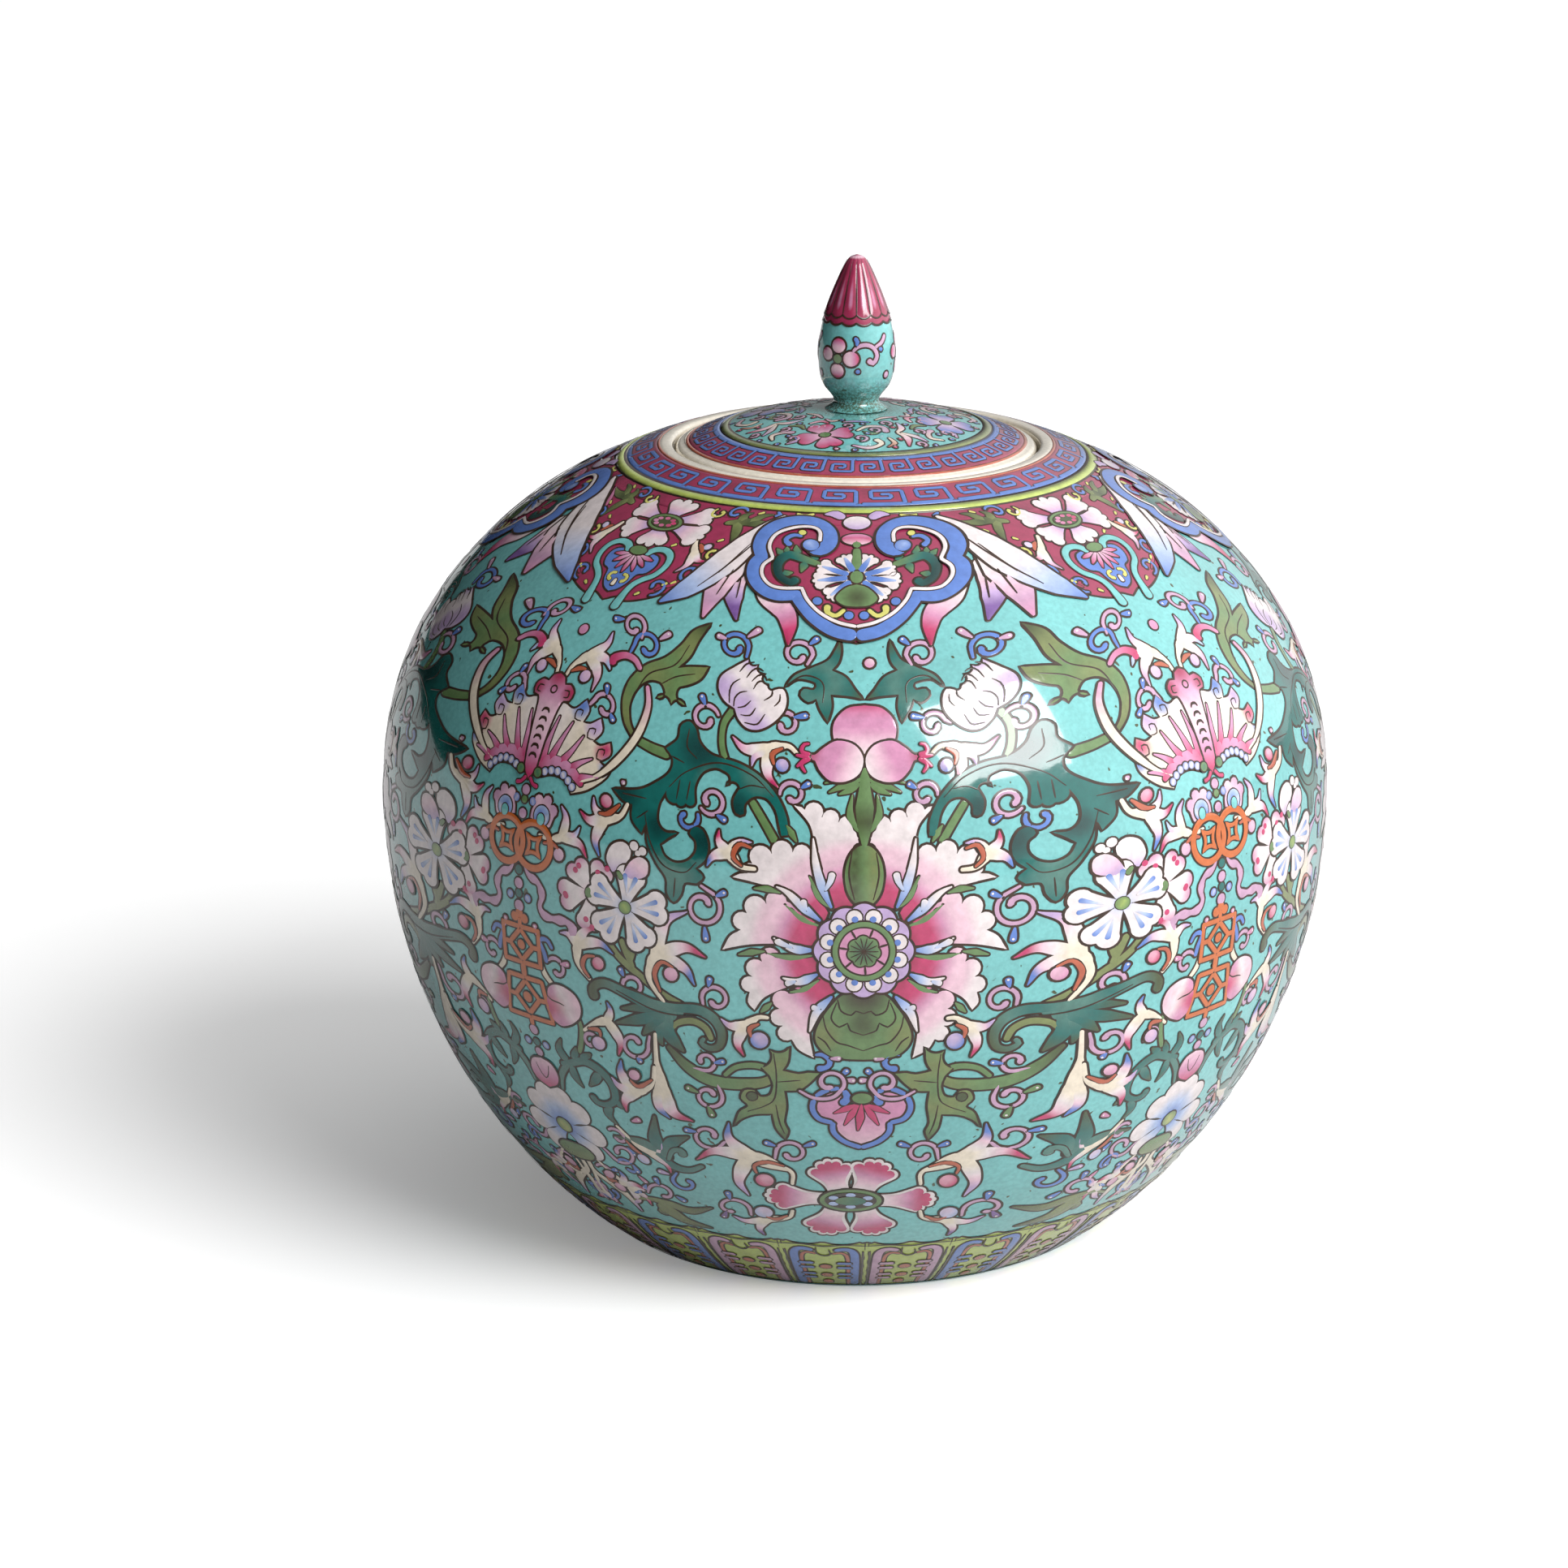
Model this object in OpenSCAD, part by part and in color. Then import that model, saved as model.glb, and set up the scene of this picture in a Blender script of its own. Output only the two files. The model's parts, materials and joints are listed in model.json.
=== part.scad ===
// Globular lidded jar in glazed porcelain: a full round body on a low foot ring,
// a recessed mouth gallery that carries a shallow domed lid, and a bud finial.
// Origin: centre of the foot's resting plane. +Z is up. Millimetres.
// The body is thrown in two halves that are luted together at the belly.

/* [Body] */
// Radius of the body at its widest
belly_r = 115; // [105:1:125]
// Height of the widest circle above the resting plane
belly_z = 104.5; // [100:0.5:108]
// Semi-axis of the elliptical lower half
lower_rise = 126.6; // [122:0.2:132]
// Semi-axis of the fuller upper half
upper_rise = 93.4; // [91:0.2:96]
// Fullness of the shoulder: 2 is an ellipse, more is squarer
shoulder_power = 2.25; // [2.1:0.05:2.4]
// Thickness of the thrown wall
wall = 5.5; // [4.5:0.5:6.5]

/* [Foot] */
// Radius of the foot ring's outer wall
foot_r = 65.4; // [63:0.2:66]
// Radius of the recess inside the foot ring
foot_recess_r = 55; // [50:1:58]
// Height of the foot ring
foot_h = 4; // [3.5:0.5:5]
// Thickness of the base floor above the foot ring
floor_t = 6; // [5:0.5:8]

/* [Mouth] */
// Radius where the mouth ring meets the shoulder
collar_r = 50; // [49:0.5:54]
// Radius of the bare rim's outer edge
rim_r = 47.2; // [46:0.2:48]
// Radius of the recess that the lid drops into
gallery_r = 43.9; // [43:0.1:45]
// Radius of the open mouth below the gallery
mouth_r = 39.5; // [38:0.5:41]
// Depth of the gallery's seat below the rim
gallery_depth = 4.1; // [3.5:0.1:5]
// Height of the mouth wall below the seat
lip_h = 4.5; // [4:0.5:6]

/* [Lid] */
// Radial play of the lid's edge in the gallery
lid_play = 0.7; // [0.4:0.1:1.2]
// Height of the lid's crown above its seat
lid_rise = 12.9; // [12:0.1:14]
// Radius of curvature of the lid's top
lid_dome_r = 109; // [100:1:120]
// Thickness of the lid at its crown
lid_t = 4.2; // [3.5:0.1:5]
// Radial play of the locating flange in the mouth
flange_play = 0.9; // [0.6:0.1:1.5]
// Thickness of the locating flange
flange_t = 4.1; // [3:0.1:5]
// Depth of the locating flange below the seat
flange_h = 8.5; // [6:0.5:12]

/* [Finial] */
// Largest radius of the bud finial
finial_r = 9.15; // [8.5:0.05:11]
// Height of the finial above the lid
finial_h = 36.8; // [30:0.2:40]

/* [Hidden] */
$fn = 96;

// Number of bands along each curved half of the body, and along the lid's dome
body_bands = 40;
dome_bands = 16;
// Steps between two points of a smoothed outline
smooth_steps = 4;

// Rounding of the foot ring's outer edge, inwards and upwards, and taper of its inner wall
foot_round = 1.9;
foot_round_h = 1.4;
foot_taper = 2;
// The bare rim stands this proud of the shoulder, and is rounded by this much on both edges
rim_swell = 0.35;
rim_round = 1;
// Chamfers of the mouth wall, the lid's lower edge and the flange
mouth_chamfer = 1;
lid_chamfer = 0.4;
flange_chamfer = 1.2;

turquoise = [0.45, 0.78, 0.76];
cream = [0.93, 0.90, 0.84];
biscuit = [0.86, 0.80, 0.70];

// Semi-axes of the inside of the wall
inner_r = belly_r - wall;
inner_rise = upper_rise - wall;
inner_drop = lower_rise - wall;
floor_z = foot_h + floor_t;

// Radius of the lower half at height z, and height of the upper half at radius r
function lower_r(z, a, b) = a * sqrt(1 - pow((belly_z - z) / b, 2));
function upper_z(r, a, b) = belly_z + b * pow(1 - pow(r / a, 2), 1 / shoulder_power);

// Points up the lower half from height z0 to the belly
function lower_curve(z0, a, b) =
    let (t0 = asin((belly_z - z0) / b))
    [for (i = [0 : body_bands]) let (t = t0 * (1 - i / body_bands))
        [a * cos(t), belly_z - b * sin(t)]];

// Points up the upper half from the belly to radius r1
function upper_curve(r1, a, b) =
    let (t1 = acos(r1 / a))
    [for (i = [0 : body_bands]) let (t = t1 * i / body_bands)
        [a * cos(t), belly_z + b * pow(sin(t), 2 / shoulder_power)]];

// Points of a shallow dome of curvature radius k under its crown, from radius r1 to the axis
function dome_curve(crown_z, k, r1) =
    [for (i = [0 : dome_bands]) let (r = r1 * (1 - i / dome_bands))
        [r, crown_z - k + sqrt(k * k - r * r)]];

// Catmull-Rom curve through the points of an outline
function spline_at(a, b, c, d, t) =
    0.5 * (2 * b + (c - a) * t + (2 * a - 5 * b + 4 * c - d) * t * t + (3 * b - 3 * c + d - a) * t * t * t);
function smooth(p) = let (n = len(p))
    concat([for (i = [0 : n - 2], s = [0 : smooth_steps - 1])
        spline_at(p[max(i - 1, 0)], p[i], p[i + 1], p[min(i + 2, n - 1)], s / smooth_steps)], [p[n - 1]]);

function reversed(p) = [for (i = [len(p) - 1 : -1 : 0]) p[i]];

collar_top_z = upper_z(collar_r, belly_r, upper_rise);
collar_low_z = upper_z(collar_r, inner_r, inner_rise);
rim_z = upper_z(rim_r, belly_r, upper_rise);
seat_z = rim_z - gallery_depth;
lid_r = gallery_r - lid_play;
flange_r = mouth_r - flange_play;
flange_in_r = flange_r - flange_t;
crown_z = seat_z + lid_rise;
// Radius of the lid's rolled edge
lid_round = 1.6;
lid_shoulder_r = lid_r - lid_round;
lid_edge_z = crown_z - lid_dome_r + sqrt(pow(lid_dome_r, 2) - pow(lid_shoulder_r, 2));

// Outline of the finial, as shares of its radius and height, from the lid to the tip
finial_outline = [
    [0.82, 0], [0.63, 0.03], [0.59, 0.06], [0.67, 0.095], [0.86, 0.155], [0.96, 0.23], [1, 0.37],
    [0.95, 0.49], [0.83, 0.62], [0.64, 0.75], [0.41, 0.88], [0.26, 0.955], [0.14, 0.988], [0, 1]
];
// The finial sits on a small flat at the crown, this far below the dome's top
finial_sink = 0.25;
finial_z = crown_z - finial_sink;
finial_seat_r = finial_outline[0][0] * finial_r;
// Width of the ease from that flat up to the dome
seat_ease = 1;

module turned(outline) rotate_extrude() polygon(outline);

// Lower half of the body: a deep bowl with a flat floor, open at the belly seam
module lower_body() color(turquoise) turned(concat(
    [[0, foot_h]],
    lower_curve(foot_h, belly_r, lower_rise),
    reversed(lower_curve(floor_z, inner_r, inner_drop)),
    [[0, floor_z]]
));

// Upper half of the body: the shoulder, from the belly seam in to the mouth ring
module upper_body() color(turquoise) turned(concat(
    upper_curve(collar_r, belly_r, upper_rise),
    reversed(upper_curve(collar_r, inner_r, inner_rise))
));

// Turned foot ring with a chamfered, unglazed resting edge
module foot_ring() color(biscuit) turned([
    [foot_recess_r + foot_taper, 0],
    [foot_r - foot_round, 0],
    [foot_r - foot_round / 4, foot_round_h / 2],
    [foot_r, foot_round_h],
    [lower_r(foot_h, belly_r, lower_rise), foot_h],
    [foot_recess_r, foot_h],
    [foot_recess_r + foot_taper / 3, foot_round_h]
]);

// Mouth ring: bare rim, recessed seat for the lid, and the wall of the open mouth
module mouth_ring() color(cream) turned([
    [collar_r, collar_low_z],
    [collar_r, collar_top_z],
    [rim_r, rim_z],
    [rim_r - rim_round, rim_z + rim_swell],
    [gallery_r + rim_round, rim_z + rim_swell],
    [gallery_r + rim_round / 3, rim_z + rim_swell / 2],
    [gallery_r, rim_z - rim_swell],
    [gallery_r, seat_z],
    [mouth_r, seat_z],
    [mouth_r, seat_z - lip_h + mouth_chamfer],
    [mouth_r + mouth_chamfer, seat_z - lip_h]
]);

// Lid: a shallow dome with a rolled edge and a flat bearing band underneath
module lid_plate() color(turquoise) turned(concat(
    [[flange_in_r, seat_z], [lid_r - lid_chamfer, seat_z], [lid_r, seat_z + lid_chamfer],
     [lid_r, lid_edge_z - lid_round]],
    [for (a = [30, 60]) [
        lid_shoulder_r + lid_round * cos(a),
        lid_edge_z - lid_round + lid_round * sin(a)
    ]],
    [for (p = dome_curve(crown_z, lid_dome_r, lid_shoulder_r)) if (p[0] > finial_seat_r + seat_ease) p],
    [[finial_seat_r, finial_z], [0, finial_z]],
    reversed(dome_curve(crown_z - lid_t, lid_dome_r - lid_t, flange_in_r))
));

// Locating flange under the lid, which keeps it central in the mouth
module lid_flange() color(cream) turned([
    [flange_in_r, seat_z],
    [flange_r, seat_z],
    [flange_r, seat_z - flange_h + flange_chamfer],
    [flange_r - flange_chamfer, seat_z - flange_h],
    [flange_in_r + flange_chamfer, seat_z - flange_h],
    [flange_in_r, seat_z - flange_h + flange_chamfer]
]);

// Bud finial, thrown solid and luted to the crown of the lid
module finial() color("palevioletred") turned(concat(
    [[0, finial_z]],
    [for (p = smooth(finial_outline)) [max(0, p[0] * finial_r), finial_z + p[1] * finial_h]]
));

lower_body();
upper_body();
foot_ring();
mouth_ring();
lid_plate();
lid_flange();
finial();
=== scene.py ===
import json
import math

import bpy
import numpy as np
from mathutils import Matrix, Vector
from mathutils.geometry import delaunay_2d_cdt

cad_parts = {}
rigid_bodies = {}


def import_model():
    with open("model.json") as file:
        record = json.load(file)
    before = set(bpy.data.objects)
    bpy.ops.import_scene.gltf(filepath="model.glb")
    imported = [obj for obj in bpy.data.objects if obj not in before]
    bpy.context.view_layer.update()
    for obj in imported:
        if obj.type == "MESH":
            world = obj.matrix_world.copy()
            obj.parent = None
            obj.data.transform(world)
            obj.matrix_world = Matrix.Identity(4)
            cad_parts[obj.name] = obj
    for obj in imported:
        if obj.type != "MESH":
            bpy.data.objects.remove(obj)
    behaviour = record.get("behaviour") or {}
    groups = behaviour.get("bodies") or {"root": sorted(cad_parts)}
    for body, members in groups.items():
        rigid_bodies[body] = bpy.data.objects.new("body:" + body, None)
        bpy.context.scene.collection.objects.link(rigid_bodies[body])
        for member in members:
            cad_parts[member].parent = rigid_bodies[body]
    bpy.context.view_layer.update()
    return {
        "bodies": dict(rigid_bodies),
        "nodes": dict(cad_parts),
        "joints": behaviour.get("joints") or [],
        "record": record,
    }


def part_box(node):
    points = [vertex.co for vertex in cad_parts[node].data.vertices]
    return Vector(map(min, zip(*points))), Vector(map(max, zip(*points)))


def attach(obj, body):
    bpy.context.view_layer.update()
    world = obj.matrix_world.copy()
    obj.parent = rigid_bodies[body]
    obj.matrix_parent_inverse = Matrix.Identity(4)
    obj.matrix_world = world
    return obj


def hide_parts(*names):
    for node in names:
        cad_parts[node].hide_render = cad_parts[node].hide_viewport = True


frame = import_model()

# Looks of a globular lidded jar in overglaze enamels.
#
# Every ornament is real raised enamel. It is drawn once on a flat chart in millimetres and then
# laid onto the turned surface. A chart's x runs along the circumference and its s runs up the outline
# of the surface from the resting plane. Angles round the jar start at the front (-Y) and grow towards
# +X. The design repeats in four quarters; each quarter has one lotus axis and one bat axis.
#
# The points of each motif are chosen one by one. Its x = 0 is close to the lotus, or on the bat axis for a
# bat, the lappet above it and what hangs below it.

MM = 0.001      # metres

# ---------------------------------------------------------------- sizes, in millimetres

BELLY_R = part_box("lower_body")[1].x / MM
BELLY_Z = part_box("lower_body")[1].z / MM
COLLAR_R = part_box("mouth_ring")[1].x / MM
RIM_TOP_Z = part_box("mouth_ring")[1].z / MM
LID_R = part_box("lid_plate")[1].x / MM
LID_SEAT_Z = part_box("lid_plate")[0].z / MM
LID_CROWN_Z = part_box("lid_plate")[1].z / MM
FLANGE_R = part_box("lid_flange")[1].x / MM
FLANGE_LOW_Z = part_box("lid_flange")[0].z / MM
FINIAL_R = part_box("finial")[1].x / MM
FINIAL_LOW_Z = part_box("finial")[0].z / MM
FINIAL_TOP_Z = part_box("finial")[1].z / MM
FOOT_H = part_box("foot_ring")[1].z / MM

# What the boxes don't tell. The body's outline is an ellipse below the belly and a fuller curve above it
LOWER_RISE = 126.6
UPPER_RISE = 93.4
SHOULDER_POWER = 2.25
WALL = 5.5
LID_DOME_R = 109.0
LID_EDGE_ROUND = 1.6

# Places round the jar, in degrees: the four lotus axes, and the bat axis after each of them
LOTUS_AXES = (0, 90, 180, 270)
BAT_AXES = (46.4, 135.5, 227, 319)

# ---------------------------------------------------------------- enamel

LIFT = 0.04        # height of one layer of enamel
BEAD = 0.05        # extra height along the middle of a stroke
LINE = 0.52        # width of the dark outline that shows beside a colour
STEP = 0.7         # spacing of points along an outline
GRAIN = 1.7        # spacing of points inside a shape
WIDE = 1.9         # a ribbon wider than this has five rows of points across, not three
NEAR = 0.05        # points of an outline that are closer than this become one
SEGMENTS = 384     # facets round a turned surface

# The colours of the glazes and enamels, as sRGB values
PALETTE = {
    "turquoise": (114, 185, 184), "teal": (20, 98, 92), "dark_teal": (14, 58, 56),
    "grey_teal": (74, 118, 108), "green": (98, 128, 80), "olive": (116, 126, 76), "moss": (66, 76, 44),
    "yellow": (176, 192, 94), "gold": (204, 200, 108), "orange": (192, 100, 48), "rust": (176, 90, 64),
    "crimson": (150, 46, 80), "ruby": (158, 42, 78), "rose": (186, 56, 102), "pink": (200, 136, 170),
    "mauve": (190, 150, 178), "blush": (226, 188, 202), "lavender": (184, 158, 200),
    "violet": (116, 82, 146), "blue": (88, 122, 192), "pale_blue": (168, 185, 220),
    "cream": (226, 213, 193), "ivory": (232, 224, 208), "white": (224, 213, 213), "line": (54, 37, 26),
}


def linear(name):
    """A palette colour as linear RGB."""
    c = np.array(PALETTE[name]) / 255
    return np.where(c > 0.04045, ((c + 0.055) / 1.055) ** 2.4, c / 12.92)


def blend_colours(t, names):
    """Runs evenly through the named colours as t goes from 0 to 1."""
    ramp = np.array([linear(n) for n in names])
    at = np.clip(t, 0, 1) * (len(names) - 1)
    return np.stack([np.interp(at, range(len(names)), ramp[:, i]) for i in range(3)], -1)


def flat(name):
    """Paint of one colour."""
    return lambda p: np.tile(linear(name), (len(p), 1))


def fade(start, end, *names):
    """Paint that changes along the line from start to end."""
    a, b = np.array(start, float), np.array(end, float)
    return lambda p: blend_colours((p - a) @ (b - a) / ((b - a) @ (b - a)), names)


def glow(centre, inner, outer, *names):
    """Paint that changes outwards from a centre, between two radii."""
    c = np.array(centre, float)
    return lambda p: blend_colours((np.hypot(*(p - c).T) - inner) / (outer - inner), names)


def spots(base, *marks):
    """Paint with soft patches of other colours; each mark is (x, s, reach, name)."""
    def paint(p):
        out = as_paint(base)(p)
        for x, s, reach, name in marks:
            share = np.clip(1 - np.hypot(p[:, 0] - x, p[:, 1] - s) / reach, 0, 1)[:, None]
            out = out + (linear(name) - out) * share * (2 - share)
        return out
    return paint


def as_paint(paint):
    """Paint of one colour from a name; any other paint stays as it is."""
    return flat(paint) if isinstance(paint, str) else paint


# ---------------------------------------------------------------- curves on a chart


def smooth(*points):
    """A smooth curve through the points, as closely spaced points."""
    p = np.array(points, float)
    if len(p) == 2:
        count = max(2, int(np.hypot(*(p[1] - p[0])) / STEP) + 2)
        return p[0] + (p[1] - p[0]) * np.linspace(0, 1, count)[:, None]
    ends = np.vstack([2 * p[0] - p[1], p, 2 * p[-1] - p[-2]])
    out = []
    for a, b, c, d in zip(ends, ends[1:], ends[2:], ends[3:]):
        count = max(2, int(np.hypot(*(c - b)) / STEP))
        t = np.arange(count)[:, None] / count
        bend = (2 * a - 5 * b + 4 * c - d) * t**2 + (3 * b - 3 * c + d - a) * t**3
        out.append(0.5 * (2 * b + (c - a) * t + bend))
    return np.vstack(out + [p[-1:]])


def lobes(bulge, *cusps):
    """Round lobes between neighbouring cusps; bulge is their depth over their width, left is positive."""
    out = []
    half = 2 * math.atan(2 * abs(bulge))
    for a, b in zip(np.array(cusps, float), np.array(cusps[1:], float)):
        along = b - a
        across = np.array([-along[1], along[0]]) * math.copysign(1, bulge)
        count = max(5, int(np.hypot(*along) * 1.4 / STEP))
        angle = np.linspace(-half, half, count, endpoint=False)
        forward = 0.5 + np.sin(angle) / (2 * math.sin(half))
        rise = (np.cos(angle) - math.cos(half)) / (2 * math.sin(half))
        out.append(a + forward[:, None] * along + rise[:, None] * across)
    return np.vstack(out + [np.array(cusps[-1:], float)])


def ring(x, s, rx, ry=None):
    """A closed ellipse."""
    ry = ry or rx
    count = max(12, int(2 * math.pi * max(rx, ry) / STEP))
    a = np.arange(count) * 2 * math.pi / count
    return np.stack([x + rx * np.cos(a), s + ry * np.sin(a)], -1)


def join(*pieces):
    """One closed outline from pieces that follow each other."""
    path = np.vstack(pieces)
    return path[np.hypot(*(path - np.roll(path, 1, axis=0)).T) > NEAR]


def trace(*stretches):
    """A closed outline of stretches, each of which starts where the one before it ended.

    A stretch is a list of points on a smooth curve; a number in front makes it lobes of that bulge."""
    pieces, end = [], []
    for stretch in stretches:
        bulge = None if isinstance(stretch[0], tuple) else stretch[0]
        points = end + list(stretch if bulge is None else stretch[1:])
        pieces.append(smooth(*points) if bulge is None else lobes(bulge, *points))
        end = points[-1:]
    return join(*pieces)


def mirrored(path, axis=0.0):
    """The same path on the other side of a vertical axis, run backwards."""
    return np.stack([2 * axis - path[:, 0], path[:, 1]], -1)[::-1]


def both_halves(half, axis=0.0):
    """A closed outline from its left half, which starts and ends on the axis."""
    return join(half, mirrored(half, axis))


def between(a, b, share):
    """The point that lies a share of the way from a to b."""
    return np.array(a, float) + (np.array(b, float) - a) * share


def spoke(angle):
    """The unit vector at an angle on a chart."""
    return np.array([math.cos(angle), math.sin(angle)])


def lengths(path):
    """How far along a path each of its points lies."""
    return np.concatenate([[0], np.cumsum(np.hypot(*np.diff(path, axis=0).T))])


# ---------------------------------------------------------------- charts


class Sheet:
    """Triangles and quads on a chart, each point with a height and a colour."""

    def __init__(self):
        self.points, self.colours, self.faces, self.count = [], [], [], 0

    def add(self, xy, height, colours, faces):
        """Adds points and the faces between them."""
        height = np.broadcast_to(height, len(xy))[:, None]
        self.points.append(np.hstack([xy, height]))
        self.colours.append(colours)
        self.faces += [[i + self.count for i in f] for f in faces]
        self.count += len(xy)


def inside(points, outline):
    """Which points lie within a closed outline."""
    x, y = points[:, :1], points[:, 1:]
    x0, y0 = outline.T
    x1, y1 = np.roll(outline, -1, axis=0).T
    rises = np.where(y1 == y0, 1e-9, y1 - y0)
    crosses = ((y0 > y) != (y1 > y)) & (x < x0 + (y - y0) * (x1 - x0) / rises)
    return crosses.sum(1) % 2 == 1


def triangulate(outline, grain):
    """Fills an outline with triangles: its points, its faces and which points are on the edge."""
    low, high = outline.min(0), outline.max(0)
    rows = np.arange(low[1] + grain / 2, high[1], grain * 0.87)
    grid = []
    for i, row in enumerate(rows):
        columns = np.arange(low[0] + (0.25 + 0.5 * (i % 2)) * grain, high[0], grain)
        grid.append(np.stack([columns, np.full(len(columns), row)], -1))
    inner = np.vstack(grid) if grid else np.zeros((0, 2))
    if len(inner):
        inner = inner[inside(inner, outline)]
    if len(inner):
        gap = np.hypot(inner[:, :1] - outline[:, 0], inner[:, 1:] - outline[:, 1]).min(1)
        inner = inner[gap > 0.4 * grain]
    points = np.vstack([outline, inner])
    loop = [list(range(len(outline)))]
    found = delaunay_2d_cdt([Vector(p) for p in points], [], loop, 1, 1e-5)
    edge = np.array([not o or min(o) < len(outline) for o in found[3]])
    return np.array([tuple(v) for v in found[0]]), found[2], edge


class Drawing:
    """A group of enamel shapes. Colours go on one sheet and dark outlines on another.

    While it has an axis, whatever is drawn appears on both sides of that x."""

    def __init__(self, axis=None):
        self.colour, self.line = Sheet(), Sheet()
        self.axis = axis

    def _put(self, sheet, xy, height, colours, faces):
        """Puts points and faces on a sheet, and their mirror image if there is an axis."""
        sheet.add(xy, height, colours, faces)
        if self.axis is not None:
            other = np.stack([2 * self.axis - xy[:, 0], xy[:, 1]], -1)
            sheet.add(other, height, colours, [f[::-1] for f in faces])

    def strip(self, sheet, path, width, paint, level, closed=False, bead=BEAD):
        """A ribbon along a path. width holds one value for each point."""
        width = np.broadcast_to(width, len(path)).astype(float)
        if closed:
            ahead, behind = np.roll(path, -1, axis=0), np.roll(path, 1, axis=0)
        else:
            ahead, behind = np.vstack([path[1:], path[-1:]]), np.vstack([path[:1], path[:-1]])
        along = ahead - behind
        along /= np.maximum(np.hypot(*along.T), 1e-9)[:, None]
        across = np.stack([-along[:, 1], along[:, 0]], -1)
        rails = (-0.5, -0.3, 0, 0.3, 0.5) if width.max() > WIDE else (-0.5, 0, 0.5)
        xy = np.stack([path + across * (width * k)[:, None] for k in rails], 1).reshape(-1, 2)
        top = level * LIFT + bead * (1 - (2 * np.array(rails)) ** 2)
        height = np.tile(top, len(path))
        n = len(rails)
        faces = []
        for i in range(len(path) if closed else len(path) - 1):
            j = (i + 1) % len(path)
            faces += [[i * n + k + 1, i * n + k, j * n + k, j * n + k + 1] for k in range(n - 1)]
        self._put(sheet, xy, height, as_paint(paint)(xy), faces)

    def stroke(self, points, widths, paint, level=1, line=LINE):
        """A coloured ribbon with round ends and dark edges.

        widths are spread along its length. A tuple of colours fades from its first point to its last."""
        path = points if isinstance(points, np.ndarray) else smooth(*points)
        run = lengths(path)
        widths = np.atleast_1d(np.array(widths, float))
        if isinstance(paint, tuple):
            paint = fade(points[0], points[-1], *paint)
        passes = [(self.colour, 0, paint, level + 1)]
        if line:
            passes.append((self.line, 2 * line, "line", level))
        for sheet, extra, ink, lift in passes:
            start_cap = widths[0] / 2 + extra / 2
            end_cap = widths[-1] / 2 + extra / 2
            total = run[-1] + extra
            round_end = np.array([0, 0.08, 0.3, 0.6])
            middle = np.arange(start_cap, total - end_cap, STEP)
            at = np.concatenate([start_cap * round_end, middle, total - end_cap * round_end[::-1]])
            at = np.unique(np.round(at, 4))
            place = at - extra / 2
            xy = np.stack([np.interp(place, run, path[:, i]) for i in range(2)], -1)
            first, last = path[1] - path[0], path[-1] - path[-2]
            before, after = np.minimum(place, 0), np.maximum(place - run[-1], 0)
            xy += before[:, None] * first / max(np.hypot(*first), 1e-9)
            xy += after[:, None] * last / max(np.hypot(*last), 1e-9)
            width = np.interp(place / run[-1], np.linspace(0, 1, len(widths)), widths) + extra
            cap = np.ones(len(at))
            for reach, away in ((start_cap, at), (end_cap, total - at)):
                short = np.clip(away / max(reach, 1e-6), 0, 1)
                cap *= np.sqrt(1 - (1 - short) ** 2)
            self.strip(sheet, xy, width * np.maximum(cap, 0.02), ink, lift)

    def shape(self, outline, paint, level=1, line=LINE, grain=GRAIN):
        """A closed coloured shape with a dark outline."""
        if line:
            self.strip(self.line, outline, 2 * line, "line", level, closed=True)
        points, faces, edge = triangulate(outline, grain)
        height = (level + 1) * LIFT + np.where(edge, 0, BEAD)
        self._put(self.colour, points, height, as_paint(paint)(points), [list(f) for f in faces])

    def pen(self, *points, width=0.4, level=4):
        """A thin dark line drawn over a colour."""
        path = smooth(*points)
        taper = np.sin(np.linspace(0.25, math.pi - 0.25, len(path))) ** 0.5
        self.strip(self.line, path, width * taper, "line", level)

    def dot(self, x, s, r, paint, level=1, ry=None, line=LINE):
        """A round or oval spot."""
        self.shape(ring(x, s, r, ry), paint, level, line, grain=max(0.8, r))

    def curl(self, root, centre, turns, paint="mauve", tail=(), level=1, width=0.9):
        """A tendril that circles a centre from its root, tightening, and ends in a knob."""
        c, d = np.array(centre, float), np.array(root, float) - centre
        reach, start = np.hypot(*d), math.atan2(d[1], d[0])
        t = np.linspace(0, 1, max(10, int(abs(turns) * reach * 7)))**0.9
        angle = start + turns * 1.8 * math.pi * t
        radius = reach * (1 - 0.3 * t - 0.42 * t**5)
        spiral = c + np.stack([radius * np.cos(angle), radius * np.sin(angle)], -1)
        path = np.vstack([smooth(*tail, root)[:-1], spiral]) if tail else spiral
        self.stroke(path, (0.6 * width, width, width, 0.9 * width, 0.9 * width, 1.6 * width), paint, level)

    def bud(self, x, s, dx, ds, paint="blue", level=1, size=1.5):
        """A drop on a thin neck, with a light spot."""
        self.stroke([(x, s), (x + dx * 0.5, s + ds * 0.5), (x + dx, s + ds)], (0.4, size * 0.8, size),
                    paint, level)
        self.dot(x + dx * 0.8, s + ds * 0.8, size * 0.18, "white", level + 2, line=0)

    def petal(self, base, tip, width, count, paint, level=1, line=LINE, neck=0.1, depth=0.34):
        """A petal whose far edge has round lobes."""
        base, tip = np.array(base, float), np.array(tip, float)
        along = tip - base
        across = np.array([-along[1], along[0]]) / np.hypot(*along) * width

        def at(u, v):
            return base + along * u + across * v

        spread = np.linspace(-1, 1, count + 1)
        cusps = [at(0.94 - 0.34 * abs(k) ** 1.6, 0.5 * k) for k in spread]
        right = smooth(at(0, -neck), at(0.3, -0.27), cusps[0])
        left = smooth(cusps[-1], at(0.3, 0.27), at(0, neck))
        self.shape(join(right[:-1], lobes(-depth, *cusps)[:-1], left), paint, level, line)

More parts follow.
